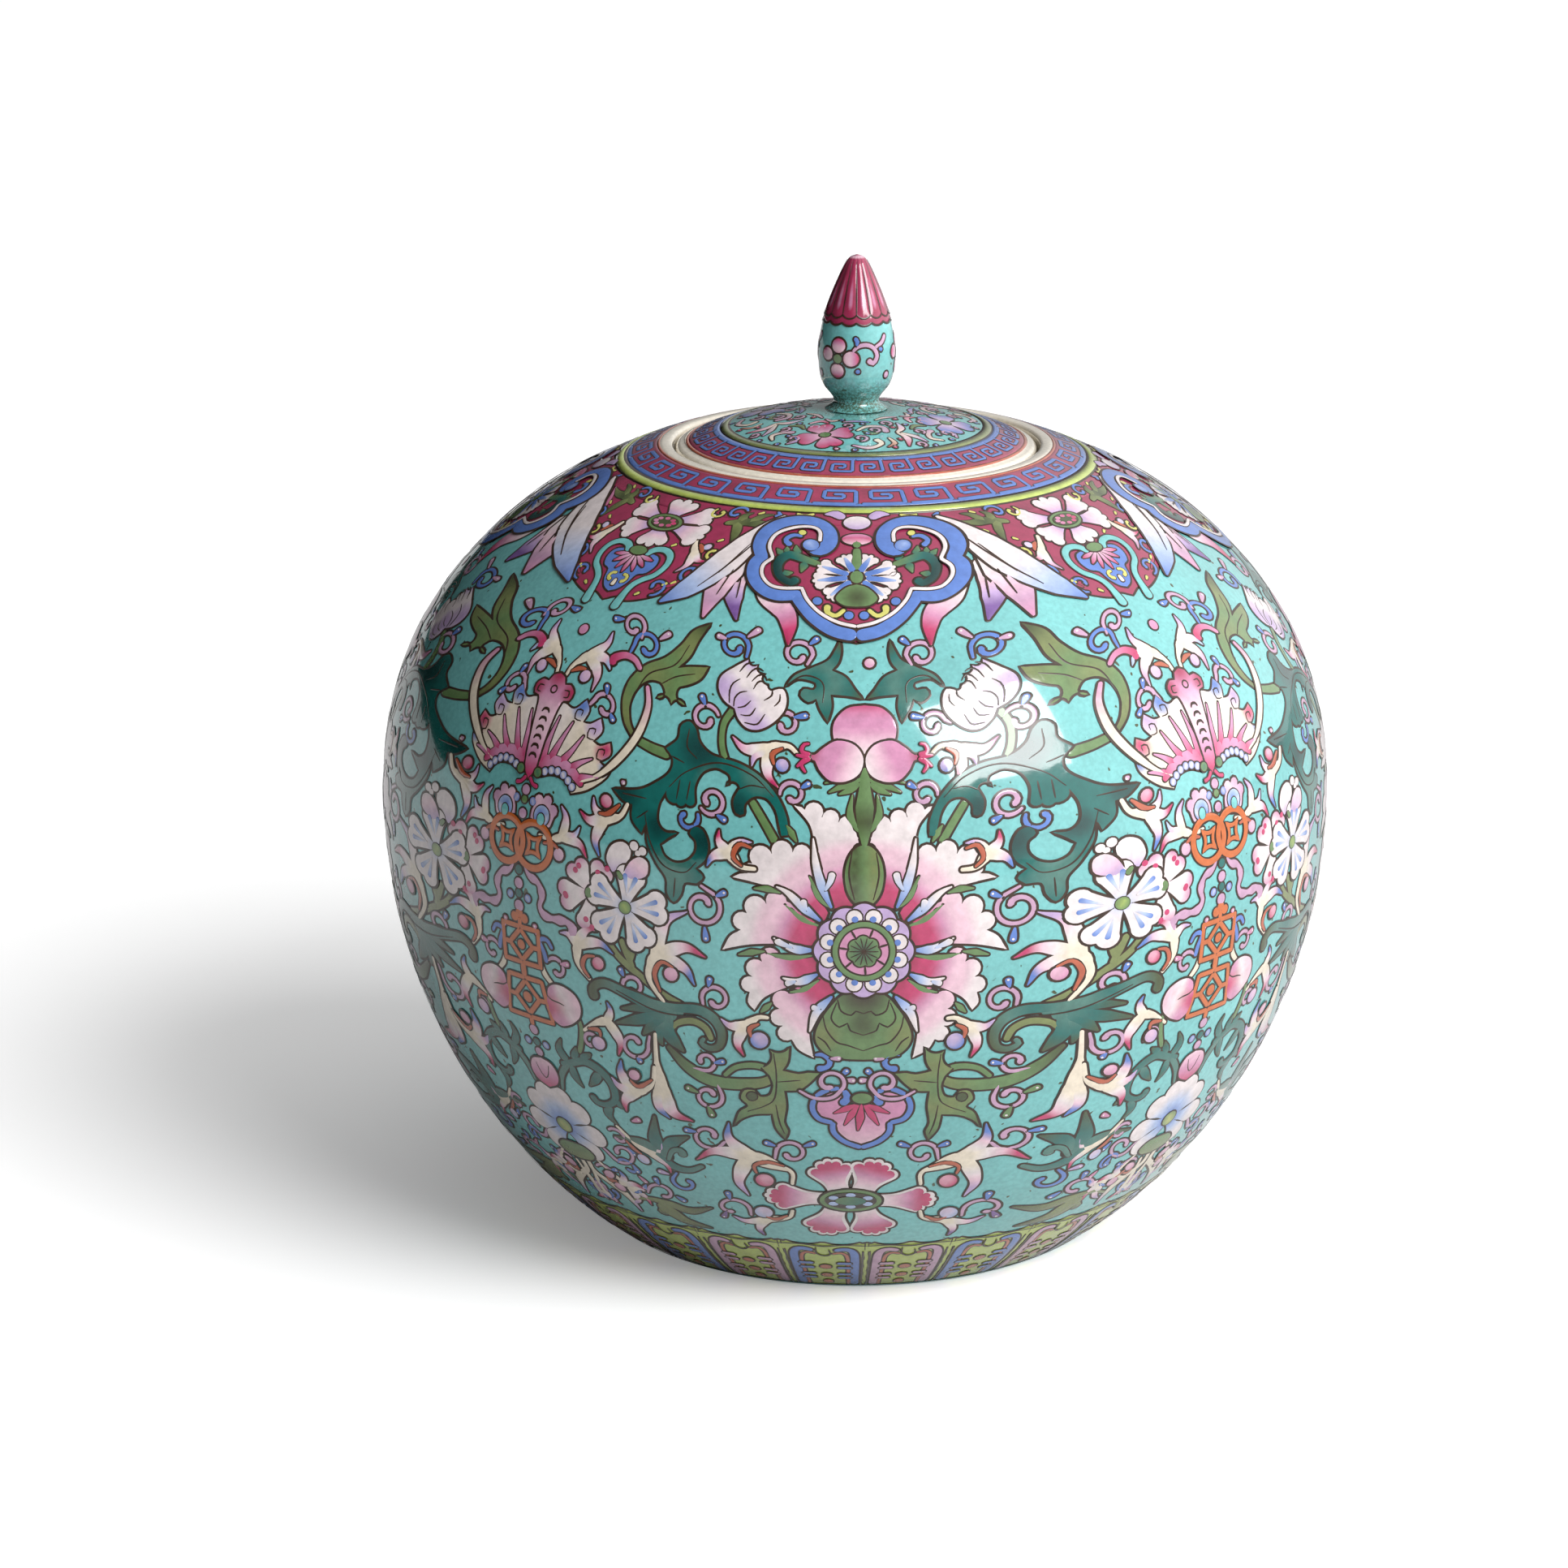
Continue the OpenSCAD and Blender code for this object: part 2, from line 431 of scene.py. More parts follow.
    def sprig(self, stem, tips, ball=None, hook=None, level=1, width=2.6):
        """A cream stem that splits into coloured blades, with an orange hook and a round bud.

        The stem is its root, bend and head, tips are (x, s, colour) and ball is (x, s, radius, colour)."""
        root, bend, head = stem
        self.stroke(stem, (0.8, 1.1, width), "cream", level)
        rise = (head[0] - bend[0], head[1] - bend[1])
        for x, s, name in tips:
            dx, ds = x - head[0], s - head[1]
            reach = math.hypot(dx, ds)
            body = min(width, reach * 0.42)
            side = math.copysign(0.2, rise[0] * ds - rise[1] * dx)
            elbow = (head[0] + 0.6 * dx + side * ds, head[1] + 0.6 * ds - side * dx)
            blade = fade(head, (x, s), "cream", "cream", "white", "blush", name, name)
            self.stroke([bend, head, elbow, (x, s)], (0.8, 0.7 * body, body, 0.95 * body, 0.5 * body, 0.2),
                        blade, level)
        if hook:
            self.stroke(hook, (0.5, 1.2, 0.5), "rust", level + 2, line=0.3)
        if ball:
            x, s, r, name = ball
            self.dot(x, s, r, glow((x + r * 0.3, s + r * 0.3), 0, r * 1.4, "blush", name), level + 2)


class Skin:
    """A turned surface, addressed by an angle round the axis and a length along its outline."""

    def __init__(self, outline):
        self.r, self.z = np.array(outline, float).T
        self.s = lengths(np.array(outline, float))
        self.out_r, self.out_z = np.gradient(self.z, self.s), -np.gradient(self.r, self.s)

    def radius(self, s):
        """How far from the axis the surface is at s."""
        return np.interp(s, self.s, self.r)

    def point(self, angle, s, height):
        """The place of points that stand a height above the surface."""
        r = self.radius(s) + height * np.interp(s, self.s, self.out_r)
        z = np.interp(s, self.s, self.z) + height * np.interp(s, self.s, self.out_z)
        return np.stack([r * np.sin(angle), -r * np.cos(angle), z], -1)


def body_curve(inset=0.0, low=0.0, top_r=0.0, bands=60):
    """The body's outline from a height below the belly to a radius above it."""
    r, down, up = BELLY_R - inset, LOWER_RISE - inset, UPPER_RISE - inset
    first = math.asin((BELLY_Z - low) / down)
    last = math.acos(top_r / r)
    lower = [(r * math.cos(t), BELLY_Z - down * math.sin(t)) for t in np.linspace(first, 0, bands)]
    upper = [
        (r * math.cos(t), BELLY_Z + up * math.sin(t) ** (2 / SHOULDER_POWER))
        for t in np.linspace(0, last, bands)[1:]
    ]
    return lower + upper


body_skin = Skin(body_curve(top_r=40, bands=400))

# ---------------------------------------------------------------- ornament on the body


def lotus():
    """The large lotus: ten lobed petals, buds and slivers between them, a seed head and a calyx."""
    mid, heart = 2.3, (2.3, 117.8)
    d = Drawing(axis=mid)
    petal = glow(heart, 8, 31, "ruby", "ruby", "rose", "rose", "pink", "blush", "blush", "white", "white",
                 "white")
    d.shape(join(
        smooth((0.6, 128), (-1, 134), (-1.2, 138.5), (0, 141.5)),
        lobes(-0.7, (0.6, 142), (0, 145)),
        lobes(-0.6, (0, 145), (-3.4, 146.6), (-7, 147.6), (-10.8, 149.2)),
        smooth((-11.5, 149.8), (-13.2, 150)),
        smooth((-13.2, 150), (-9.5, 145.5), (-8.6, 140), (-7.6, 134.5), (-4.5, 127.5)),
    ), petal, 1)
    d.shape(trace(
        [(-5.5, 126.5), (-7.8, 131), (-9, 135), (-9.6, 138.6)],
        [-0.6, (-13.4, 139.8), (-18, 139.2), (-22.4, 136.8)],
        [-0.5, (-23.4, 134.6)],
        [(-25.2, 134.4), (-27, 133.4)],
        [(-20, 132.2), (-14, 130.2), (-9.5, 127), (-6.6, 123.5)],
    ), petal, 1)
    d.shape(trace(
        [(-7, 124), (-10.5, 127.2), (-14.6, 128.8)],
        [-0.58, (-19.2, 128), (-23.6, 125.6), (-25, 121.6)],
        [(-27.4, 120), (-29.2, 116.6)],
        [(-23, 118.3), (-15, 119), (-8.3, 118.8)],
    ), petal, 1)
    d.shape(trace(
        [(-8.2, 117.3), (-13, 116.6), (-16.2, 116.4)],
        [-0.58, (-20.2, 114.6), (-22.4, 110.8), (-23, 107)],
        [(-23.4, 104.5), (-21.9, 102.6)],
        [(-19.5, 106), (-14, 109), (-7.4, 111.6)],
    ), petal, 1)
    d.shape(trace(
        [(-7.2, 112), (-11, 109.8), (-14.3, 107.6)],
        [-0.55, (-16.4, 103.4), (-15.6, 99.2), (-13.6, 95.8)],
        [(-12, 93.2), (-8.6, 91.2)],
        [(-9.6, 98), (-8.6, 104), (-3.5, 108.5)],
    ), petal, 1)
    for path in (
        [(-4.8, 127.6), (-6.6, 131.5), (-8.2, 137), (-8.9, 143)],
        [(-7.2, 124.6), (-11, 127.6), (-14.5, 130.8), (-17, 132)],
        [(-8.6, 117.8), (-13, 118), (-17.6, 120.3)],
        [(-7.8, 112.2), (-12, 110.2), (-15.6, 111)],
        [(-4.6, 107), (-8, 103), (-9.6, 98)],
    ):
        d.stroke(path, (0.5, 2.0, 1.5, 0.3), ("blue", "pale_blue", "white", "white"), 3)
    for path in (
        [(-6.3, 131.5), (-5.1, 133.6), (-4.6, 135.6)], [(-10.3, 126.9), (-10.9, 128.6), (-11.1, 129.4)],
        [(-13.4, 118.2), (-16.4, 119.4), (-17, 120)], [(-12.6, 110.3), (-15, 109.6)],
        [(-7.2, 103.8), (-9.2, 104.2)],
    ):
        d.stroke(path, (0.6, 1.2, 1.7), ("pale_blue", "white"), 4, line=0.3)
    for path in (
        [(-4.6, 127.2), (-7.5, 130), (-9.7, 134.6)], [(-7, 123.3), (-11, 124.8), (-15, 128)],
        [(-8.8, 116.6), (-14, 115.8), (-19, 116.6)], [(-7.5, 110.8), (-11, 108.3), (-14, 107.6)],
        [(-16, 130.6), (-19, 131.4), (-22, 131.3)], [(-19.5, 117), (-22.5, 116.6), (-25.5, 115.8)],
        [(-18, 104.8), (-20.5, 102.2)], [(-12.5, 142), (-14.3, 145), (-14.8, 145.6)],
    ):
        d.stroke(path, (0.3, 1.5, 0.3), "green", 2, line=0.4)
    d.axis = None
    d.stroke([(mid, 141), (mid, 145), (mid, 150), (mid, 158.5)], (0.8, 3.2, 4, 2.4, 1.8),
             fade((mid, 142), (mid, 156), "green", "moss", "green", "green"), 3)
    d.axis = mid
    for path in ([(1.6, 144), (-0.8, 148), (-0.4, 152.6)], [(1.4, 155), (-1.5, 153.4), (-3.4, 152.6)],
                 [(1.6, 156), (-2.5, 156.2), (-6.5, 155)], [(1.4, 155.8), (-2.2, 154.6), (-5.6, 153)]):
        d.stroke(path, (1.0, 1.6, 0.3), "green", 2, line=0.35)
    d.axis = None
    calyx = [(mid, 108), (-2.2, 107.4), (-5, 104.4), (-7.3, 100.6), (-8.4, 97), (-7.6, 94.2), (-5.2, 92),
             (-2, 91.2), (mid, 91)]
    d.shape(both_halves(smooth(*calyx), mid), spots("green", (mid, 108, 7, "line"), (-7, 97, 5, "olive"),
                                                    (11.6, 97, 5, "olive"), (mid, 100, 4, "moss")), 2)
    d.axis = mid
    d.pen((-3.4, 106.2), (-2.6, 103.4), (-0.4, 102.4), (0.6, 103.4), (mid, 102.8), width=0.5)
    d.pen((-6.6, 102), (-5.8, 98.6), (-3.6, 95.6), (-1.2, 94.8), (mid, 93.4), width=0.5)
    d.pen((-3.6, 105.4), (-4.8, 101.6), (-3, 99.4), (-1.2, 100.4), (-0.6, 98.6), (mid, 97.4), width=0.5)
    d.pen((-7.8, 96.8), (-6.2, 95.6), (-4.8, 93.2), width=0.5)
    d.axis = None
    d.shape(ring(mid, 134.8, 4.3, 6.9),
            fade((-2, 135), (6.6, 135), "green", "moss", "green", "olive", "green"), 3)
    d.pen((-0.4, 140), (-1, 135), (0.2, 129.5), level=5)
    d.pen((4.9, 140), (5.5, 135), (4.3, 129.5), level=5)
    angle = np.arange(144) * 2 * math.pi / 144
    scallop = 10.1 + 0.9 * np.abs(np.cos(6 * angle))
    d.shape(np.stack([mid + scallop * np.cos(angle), 117.8 + scallop * np.sin(angle)], -1), "lavender", 5)
    for i in range(12):
        out = spoke((i + 0.5) * math.pi / 6)
        d.dot(*(heart + 8.0 * out), 1.75, "white", 7, line=0.35)
        d.dot(*(heart + 7.6 * out), 0.75, "blue", 9, line=0)
    d.dot(*heart, 5.9, "pink", 9, line=0.3)
    for i in range(7):
        out = spoke(i * 2 * math.pi / 7 + 0.3)
        d.pen(heart + 3.4 * out, heart + 5.7 * out, width=0.5, level=12)
    star = 3.2 + 0.5 * np.abs(np.sin(3.5 * (angle - 0.3)))
    d.shape(np.stack([mid + star * np.cos(angle), 117.8 + star * np.sin(angle)], -1),
            glow(heart, 0, 3.6, "dark_teal", "green"), 11, line=0.3)
    for i in range(14):
        d.pen(heart, heart + 3.2 * spoke(i * math.pi / 7), width=0.3, level=13)
    rim = ring(*heart, 6.3)
    d.strip(d.line, rim, 1.9, "line", 10, closed=True)
    d.strip(d.colour, rim, 1.1, "green", 12, closed=True)
    return d


def crest():
    """Fruit above the lotus: a peach, two pomegranates, a leaf and a finger citron on each side."""
    mid = 2.2
    d = Drawing()
    peach = [(mid, 172.6), (-1.6, 171.9), (-4.4, 168.8), (-4.6, 165), (-2.5, 161.5), (mid, 159.5)]
    d.shape(both_halves(smooth(*peach), mid),
            fade((mid, 173), (mid, 161), "rose", "pink", "pink", "blush", "white"), 2)
    d.dot(3.2, 182.6, 1.2, glow((3.6, 183), 0, 1.3, "white", "pink"), 1)
    d.axis = mid
    rind = smooth((-10.4, 161.4), (-8.6, 161.3), (-6.8, 162.8), (-3.8, 164.5), (0, 163.6), (2, 160.6),
                  (1.2, 157.2), (-1.8, 155.4), (-5.4, 155.6), (-7.8, 158), (-8.6, 159.8), (-10.4, 160.2))
    d.shape(rind, fade((-10, 161), (1.5, 157), "ruby", "pink", "pink", "blush", "white"), 4)
    for path in ([(-9.6, 161.2), (-11.6, 161.8), (-11, 163.4), (-9.8, 163.6)],
                 [(-9.8, 160.6), (-12.8, 161)], [(-9.6, 160.4), (-11.6, 159), (-10.6, 157.2)],
                 [(-10.5, 160.3), (-12.6, 158.4)]):
        d.stroke(path, (0.9, 0.9, 0.5), "rose", 5, line=0.3)
    leaf = trace(
        [(-15.4, 176.4), (-13.2, 179.4), (-9.5, 181.3), (-6, 183.2), (-4.4, 185.8), (-3.3, 188.4)],
        [(-3, 185.4), (-3.6, 182.6), (-5, 180.8)],
        [(-2, 179.2), (0.2, 176), (1.9, 173.9)],
        [(-1.4, 174.6), (-5.2, 174.9)],
        [(-5, 172), (-5.9, 168.5)],
        [(-7.6, 171.4), (-8.4, 173.8)],
        [(-10.2, 173), (-12, 174.6), (-11.2, 176.2), (-9, 176), (-8.6, 177.6), (-12.4, 178.4),
         (-15.4, 176.4)],
    )
    d.shape(leaf, glow((-8.5, 178), 1, 11, "teal", "grey_teal", "teal", "moss"), 1)
    d.pen((-14.8, 177), (-11.5, 179.2), (-8.4, 178.8), (-6.8, 177), (-7, 173), level=3)
    citron = trace(
        [(-26.6, 170.6), (-29, 172.2), (-30.4, 175), (-29.8, 178), (-26.8, 180.4), (-23.6, 182.5)],
        [-0.4, (-21.5, 181.2), (-19.9, 179.2), (-19.2, 176.6), (-17.6, 175.6)],
        [(-15.8, 175.9), (-14.9, 173.8), (-15.4, 170.8), (-17.9, 167.9), (-21, 166.2), (-23.8, 166.4),
         (-25.8, 168.4), (-26.6, 170.6)],
    )
    d.shape(citron, spots("white", (-29.8, 175.4, 5, "lavender"), (-25, 171.4, 4.4, "lavender"),
                          (-21.4, 166.6, 4, "lavender"), (-22.6, 182.2, 3, "lavender")), 3, grain=1.2)
    for line in (
        [(-27.8, 171.8), (-27.8, 174.6), (-27, 176.5), (-25.4, 177.6)],
        [(-26.8, 171.1), (-26.6, 173), (-25.4, 174.4), (-23.8, 174.8)],
        [(-25.9, 170.9), (-24.3, 171.3), (-22.9, 172.7)], [(-25.2, 169.3), (-23.1, 169.3), (-21.8, 171.1)],
        [(-24.3, 167.6), (-21.5, 167.4), (-19.7, 169.8)], [(-22.2, 181.9), (-24, 181.3), (-25.6, 179.3)],
        [(-20.1, 179.8), (-21.3, 180.5), (-22.7, 179.8), (-24, 178)],
        [(-19.3, 177.6), (-20.1, 179), (-21.5, 178.6), (-22.8, 177.2)],
        [(-19.2, 176.4), (-20.4, 177.4), (-21.5, 177), (-22.4, 175.4)],
        [(-18.1, 175.4), (-18.3, 174.1), (-20, 172.9)], [(-16.4, 174.6), (-16.5, 173), (-17.7, 171.7)],
    ):
        d.pen(*line, width=0.5, level=5)
    d.stroke([(-26.8, 170.6), (-29, 167), (-29.4, 162.5), (-28.4, 158.6)], (1.5, 1.2, 1.3), "green", 1)
    d.sprig([(-12.4, 161.2), (-14.6, 163), (-18.4, 162.2)],
            [(-27, 164.3, "pink"), (-22.6, 158, "lavender"), (-16.6, 153.6, "rose")],
            (-15.8, 158.6, 1.5, "blue"), [(-17.6, 158.6), (-18, 161), (-15.6, 162.4)], 1)
    return d


def acanthus():
    """The dark scrolling acanthus beside the lotus, with the two stems that leave it."""
    d = Drawing()
    d.stroke([(-17, 141.5), (-20, 146.5), (-22.6, 150.6)], (1.7, 1.5), "green", 0)
    d.stroke([(-41.5, 158.8), (-46, 159.8), (-50.5, 161.4)], (2.2, 1.6), "green", 0)
    top = smooth((-14.4, 143.4), (-14.6, 147), (-16.6, 151.6), (-20.6, 156), (-25.6, 158.6), (-31.6, 159.9),
                 (-34.5, 162.4), (-35.3, 165), (-37, 166.8), (-39.1, 165.6), (-39.7, 162.6), (-42.6, 160.2))
    tail = trace(
        [(-42.6, 160.2), (-40.8, 157.8), (-41.6, 155), (-44.6, 152.6), (-49, 150.4), (-55.6, 149.6)],
        [(-53, 147.4), (-50.6, 146.8)],
        [(-50.6, 143.6), (-48.2, 140.8)],
        [(-47, 143), (-46.8, 139), (-44.6, 134.8), (-42.2, 131.6), (-42, 128.4), (-40.4, 126.4),
         (-38.6, 128.4), (-37.8, 131), (-35, 131.2)],
        [(-33.4, 132.8), (-35.2, 134.6)],
    )
    curl_in = trace(
        [(-35.2, 134.6), (-32.8, 137), (-32.3, 140.4), (-33.6, 143.3), (-35.6, 143.8), (-36.7, 142.2),
         (-35.2, 140.6), (-35.3, 138.2), (-37.2, 136.1), (-40, 135.4), (-42.6, 136.6), (-43.7, 139)],
        [(-41.6, 140.6), (-39.4, 142)],
        [(-42.6, 142), (-44.3, 144), (-44, 147.6), (-42.2, 150.9)],
        [-0.3, (-39.8, 148.4), (-37.6, 148.6), (-35.4, 149)],
        [(-35.4, 152.6), (-33.6, 155.8), (-30.6, 157), (-28.2, 156.2)],
        [0.35, (-28.3, 153.4), (-25.2, 153.2)],
        [(-26.7, 150.2), (-26, 147.4), (-24.2, 147.4), (-24, 149.6), (-21.8, 151.4), (-19, 151),
         (-17.1, 148.4), (-16.4, 145.4), (-15.9, 143.2)],
    )
    shades = spots("teal", (-26, 148, 5, "dark_teal"), (-20.6, 156, 5, "grey_teal"),
                   (-34, 161, 6, "dark_teal"), (-33, 141, 5, "dark_teal"), (-41, 133, 6, "grey_teal"),
                   (-53, 149.6, 5, "dark_teal"), (-44, 143, 4, "dark_teal"),
                   (-31.6, 153.6, 4, "grey_teal"), (-38, 145, 3, "dark_teal"))
    d.shape(join(top, tail, curl_in), shades, 2)
    d.pen((-17.6, 151.6), (-22.4, 156), (-30, 158.2), (-37.4, 155.6), (-41.6, 151.8), level=4)
    d.pen((-47.4, 145.4), (-46.2, 139.6), (-43, 134.6), (-38, 133.4), (-35, 136), level=4)
    for line in ([(-37, 165), (-37.4, 161), (-35, 158.6)], [(-41, 158.6), (-38, 157.4)],
                 [(-53, 149), (-47, 148.6)], [(-49.4, 144), (-46.6, 146)], [(-40.4, 127.6), (-40, 132)],
                 [(-39.8, 149.4), (-39, 153.6)], [(-37.4, 149.4), (-36.6, 153.6)],
                 [(-25.4, 152.8), (-22.6, 153.8), (-19.6, 153.4)]):
        d.pen(*line, level=4)
    return d


def olive_ring():
    """The olive leaf that curls round the cord of the bat's wing."""
    d = Drawing()
    leaf = trace(
        [(-51, 161.2), (-53.4, 165), (-53.9, 170), (-52.2, 174.6), (-48.4, 178.4), (-43.4, 181),
         (-39.6, 184.6), (-36.8, 188.4), (-32.6, 190.7)],
        [(-35.2, 186.4), (-37.4, 181.8), (-40.2, 178.8)],
        [(-37.4, 179.4), (-32.8, 179.8)],
        [(-34.6, 176.8), (-37.2, 175.2), (-39.6, 174.4)],
        [-0.35, (-38.2, 170.2), (-41.6, 170.2)],
        [-0.35, (-45.2, 171.2), (-43.4, 173.4)],
        [(-44.4, 174.8), (-47.2, 174.9), (-50, 172.9), (-51.9, 169), (-51.7, 165), (-50.2, 162)],
    )
    d.shape(leaf, glow((-46, 176), 0, 18, "olive", "green", "olive", "moss"), 1)
    d.pen((-51, 171), (-47.4, 176.4), (-41, 179.4), (-37.6, 184.6), level=3)
    d.pen((-44, 174.6), (-40.6, 176.6), (-36, 177.8), level=3)
    cord = [(-47.6, 173.6), (-47.2, 169), (-49, 163.4), (-52, 158.8), (-56, 154.6), (-60, 151.6),
            (-64.6, 149.6)]
    d.stroke(cord, (0.9, 1.3, 1.6, 1.6, 1.5, 0.9, 0.5), ("pink", "cream", "cream", "cream"), 4)
    d.stroke([(-49.6, 177), (-51.2, 179.2), (-54, 179.9), (-57, 178.6), (-57.3, 177)], (1.1, 1.5, 1.6, 2.2),
             fade((-49, 178), (-57, 178), "pink", "rose"), 2)
    return d


def blossoms():
    """The blue and white blossom with its pink companion, bud and stems."""
    d = Drawing()
    heart, side = (-52.3, 123.6), (-61.4, 125.4)
    for path in ([(-58.8, 117.8), (-54.6, 112), (-48.6, 107.6), (-43, 104), (-38.4, 102)],
                 [(-53.6, 116), (-52, 112.4), (-50.6, 109.4)],
                 [(-50.8, 117), (-50.9, 112.6), (-51.6, 110.6)],
                 [(-61, 123), (-60, 119), (-58.6, 117.4)]):
        d.stroke(path, (1.3, 1.6, 1.2), "olive", 0)
    for tip, width in (((-65.8, 131.8), 5.6), ((-69.8, 123.4), 6), ((-62, 116.6), 5.4),
                       ((-57.4, 132.4), 5)):
        d.petal(side, tip, width, 2, fade(side, tip, "blush", "white", "white", "pink"), 2, depth=0.5)
        for k in (0.72, 0.9):
            x, s = between(side, tip, k)
            d.dot(x + 1.2 * (k - 0.8) * 8, s, 0.7, "rose", 4, line=0)
    d.dot(*side, 1.4, "green", 4, line=0.2)
    for tip, width in (((-42, 124.8), 6.2), ((-50.4, 133), 6), ((-61.6, 127.6), 6.2), ((-59.2, 116.4), 6.6),
                       ((-47.2, 114.6), 6.2)):
        d.petal(heart, tip, width, 2, fade(heart, tip, "pale_blue", "white", "white", "white"), 4,
                depth=0.5)
        along = np.array(tip) - heart
        across = np.array([-along[1], along[0]]) / np.hypot(*along)
        for k in (-1.5, 1.5):
            d.stroke([heart + along * 0.3, heart + along * 0.8 + across * k], (0.3, 0.7, 1.3),
                     ("white", "pale_blue", "blue"), 6, line=0)
    d.dot(*heart, 1.5, glow(heart, 0, 1.5, "yellow", "green"), 7, line=0.15)
    d.shape(join(smooth((-55.6, 131.2), (-57.1, 134), (-55.8, 137.2), (-52.8, 138.4), (-50.8, 136.8),
                        (-51.4, 134), (-53.4, 131.6))),
            fade((-54, 138), (-54, 131), "white", "white", "lavender"), 3)
    d.shape(join(smooth((-53, 131), (-51, 134.2), (-48.6, 135.6), (-46.6, 134.6), (-46.6, 132),
                        (-48, 130.8), (-50.8, 130.2))),
            fade((-47, 136), (-50, 130), "white", "blush", "lavender"), 5)
    for x, s, r in ((-50, 137.8, 1.1), (-47.9, 136.9, 1.0), (-49, 136.2, 0.8)):
        d.dot(x, s, r, "white", 4, line=0.35)
    d.stroke([(-54.2, 131.6), (-53, 130)], (0.8, 1.4), "green", 6, line=0.2)
    return d


def low_scroll():
    """The grey-green scroll below the blossoms, its blades, and the leaf scroll under the lotus."""
    d = Drawing()
    d.stroke([(-41.5, 94), (-40.4, 97), (-36.4, 98.4), (-33.2, 97), (-31.8, 94)], (1.2, 1.6, 1.3),
             "olive", 1)
    for path, width in (
        ([(-38, 100.8), (-46, 100.4), (-53.8, 98.8)], 3.0),
        ([(-40, 99.8), (-48, 97.2), (-55.2, 94.8)], 3.2),
        ([(-41, 99), (-45.4, 96.4), (-48.4, 93)], 3.4), ([(-42.6, 99), (-42.2, 94.6), (-38.4, 90)], 3.6),
        ([(-43, 97), (-44.6, 93.6), (-43.6, 91)], 3.0),
    ):
        d.stroke(path, (width, width, width * 0.8, 0.4), ("grey_teal", "teal", "moss"), 2)
    d.stroke([(-60.6, 99.8), (-61.2, 102.6), (-58, 104.4), (-52, 102.8), (-46, 101.2), (-40, 101.2),
              (-34.8, 101.4), (-31, 99.4), (-29.4, 96), (-30, 92.8), (-32.2, 91.8), (-34.2, 93),
              (-33.4, 94.4)], (2.6, 2.0, 2.0, 2.2, 3.0, 2.6, 2.0, 2.2, 2.4, 2.2, 1.8, 1.4, 1.0),
             glow((-44, 101), 2, 17, "grey_teal", "teal", "grey_teal", "moss"), 3)
    d.pen((-55, 103.3), (-46, 100), (-40, 99.4), (-34, 100), level=5)
    d.stroke([(-42.4, 91), (-38, 86.4), (-33, 83.4), (-27, 82.8), (-20.4, 83.8), (-17, 86)],
             (0.9, 2.6, 3.0, 2.8, 1.8), fade((-42, 90), (-18, 85), "moss", "green", "green", "olive"), 1)
    d.stroke([(-29, 84.8), (-26.2, 87.5), (-21.6, 88.4), (-17, 87)], (1.0, 1.4, 1.6), "green", 2)
    leaf = trace(
        [-0.25, (-20.4, 88), (-18.4, 92.8), (-14, 94)],
        [(-14.4, 90), (-15.6, 87.6)],
        [(-12, 86.9), (-10, 87.4), (-7.3, 87.3)],
        [(-9.8, 84.2), (-12, 82.4), (-15.2, 82)],
        [(-14.8, 77.6), (-15.3, 73), (-14.4, 70.4), (-15.1, 67.7)],
        [(-17.2, 71), (-18, 75.2)],
        [(-22, 74.6), (-25.2, 72.8), (-27, 70.4)],
        [(-25.6, 75), (-23.6, 77), (-25.2, 79), (-24.4, 81.4), (-22, 81.6), (-20.8, 80), (-18.6, 80.6),
         (-17.8, 83.4), (-18.6, 86)],
    )
    d.shape(leaf, glow((-17, 83), 1, 16, "green", "olive", "green", "moss"), 3)
    d.pen((-17.6, 92), (-17, 86), (-17.4, 80), (-19.4, 77.6), (-23.6, 75.4), level=5)
    d.pen((-16.8, 84.4), (-11.6, 85.2), level=5)
    d.pen((-17.2, 78), (-16.4, 73), (-15.3, 69.6), level=5)
    d.dot(-22.6, 79.9, 1.2, "moss", 5, line=0.3)
    return d


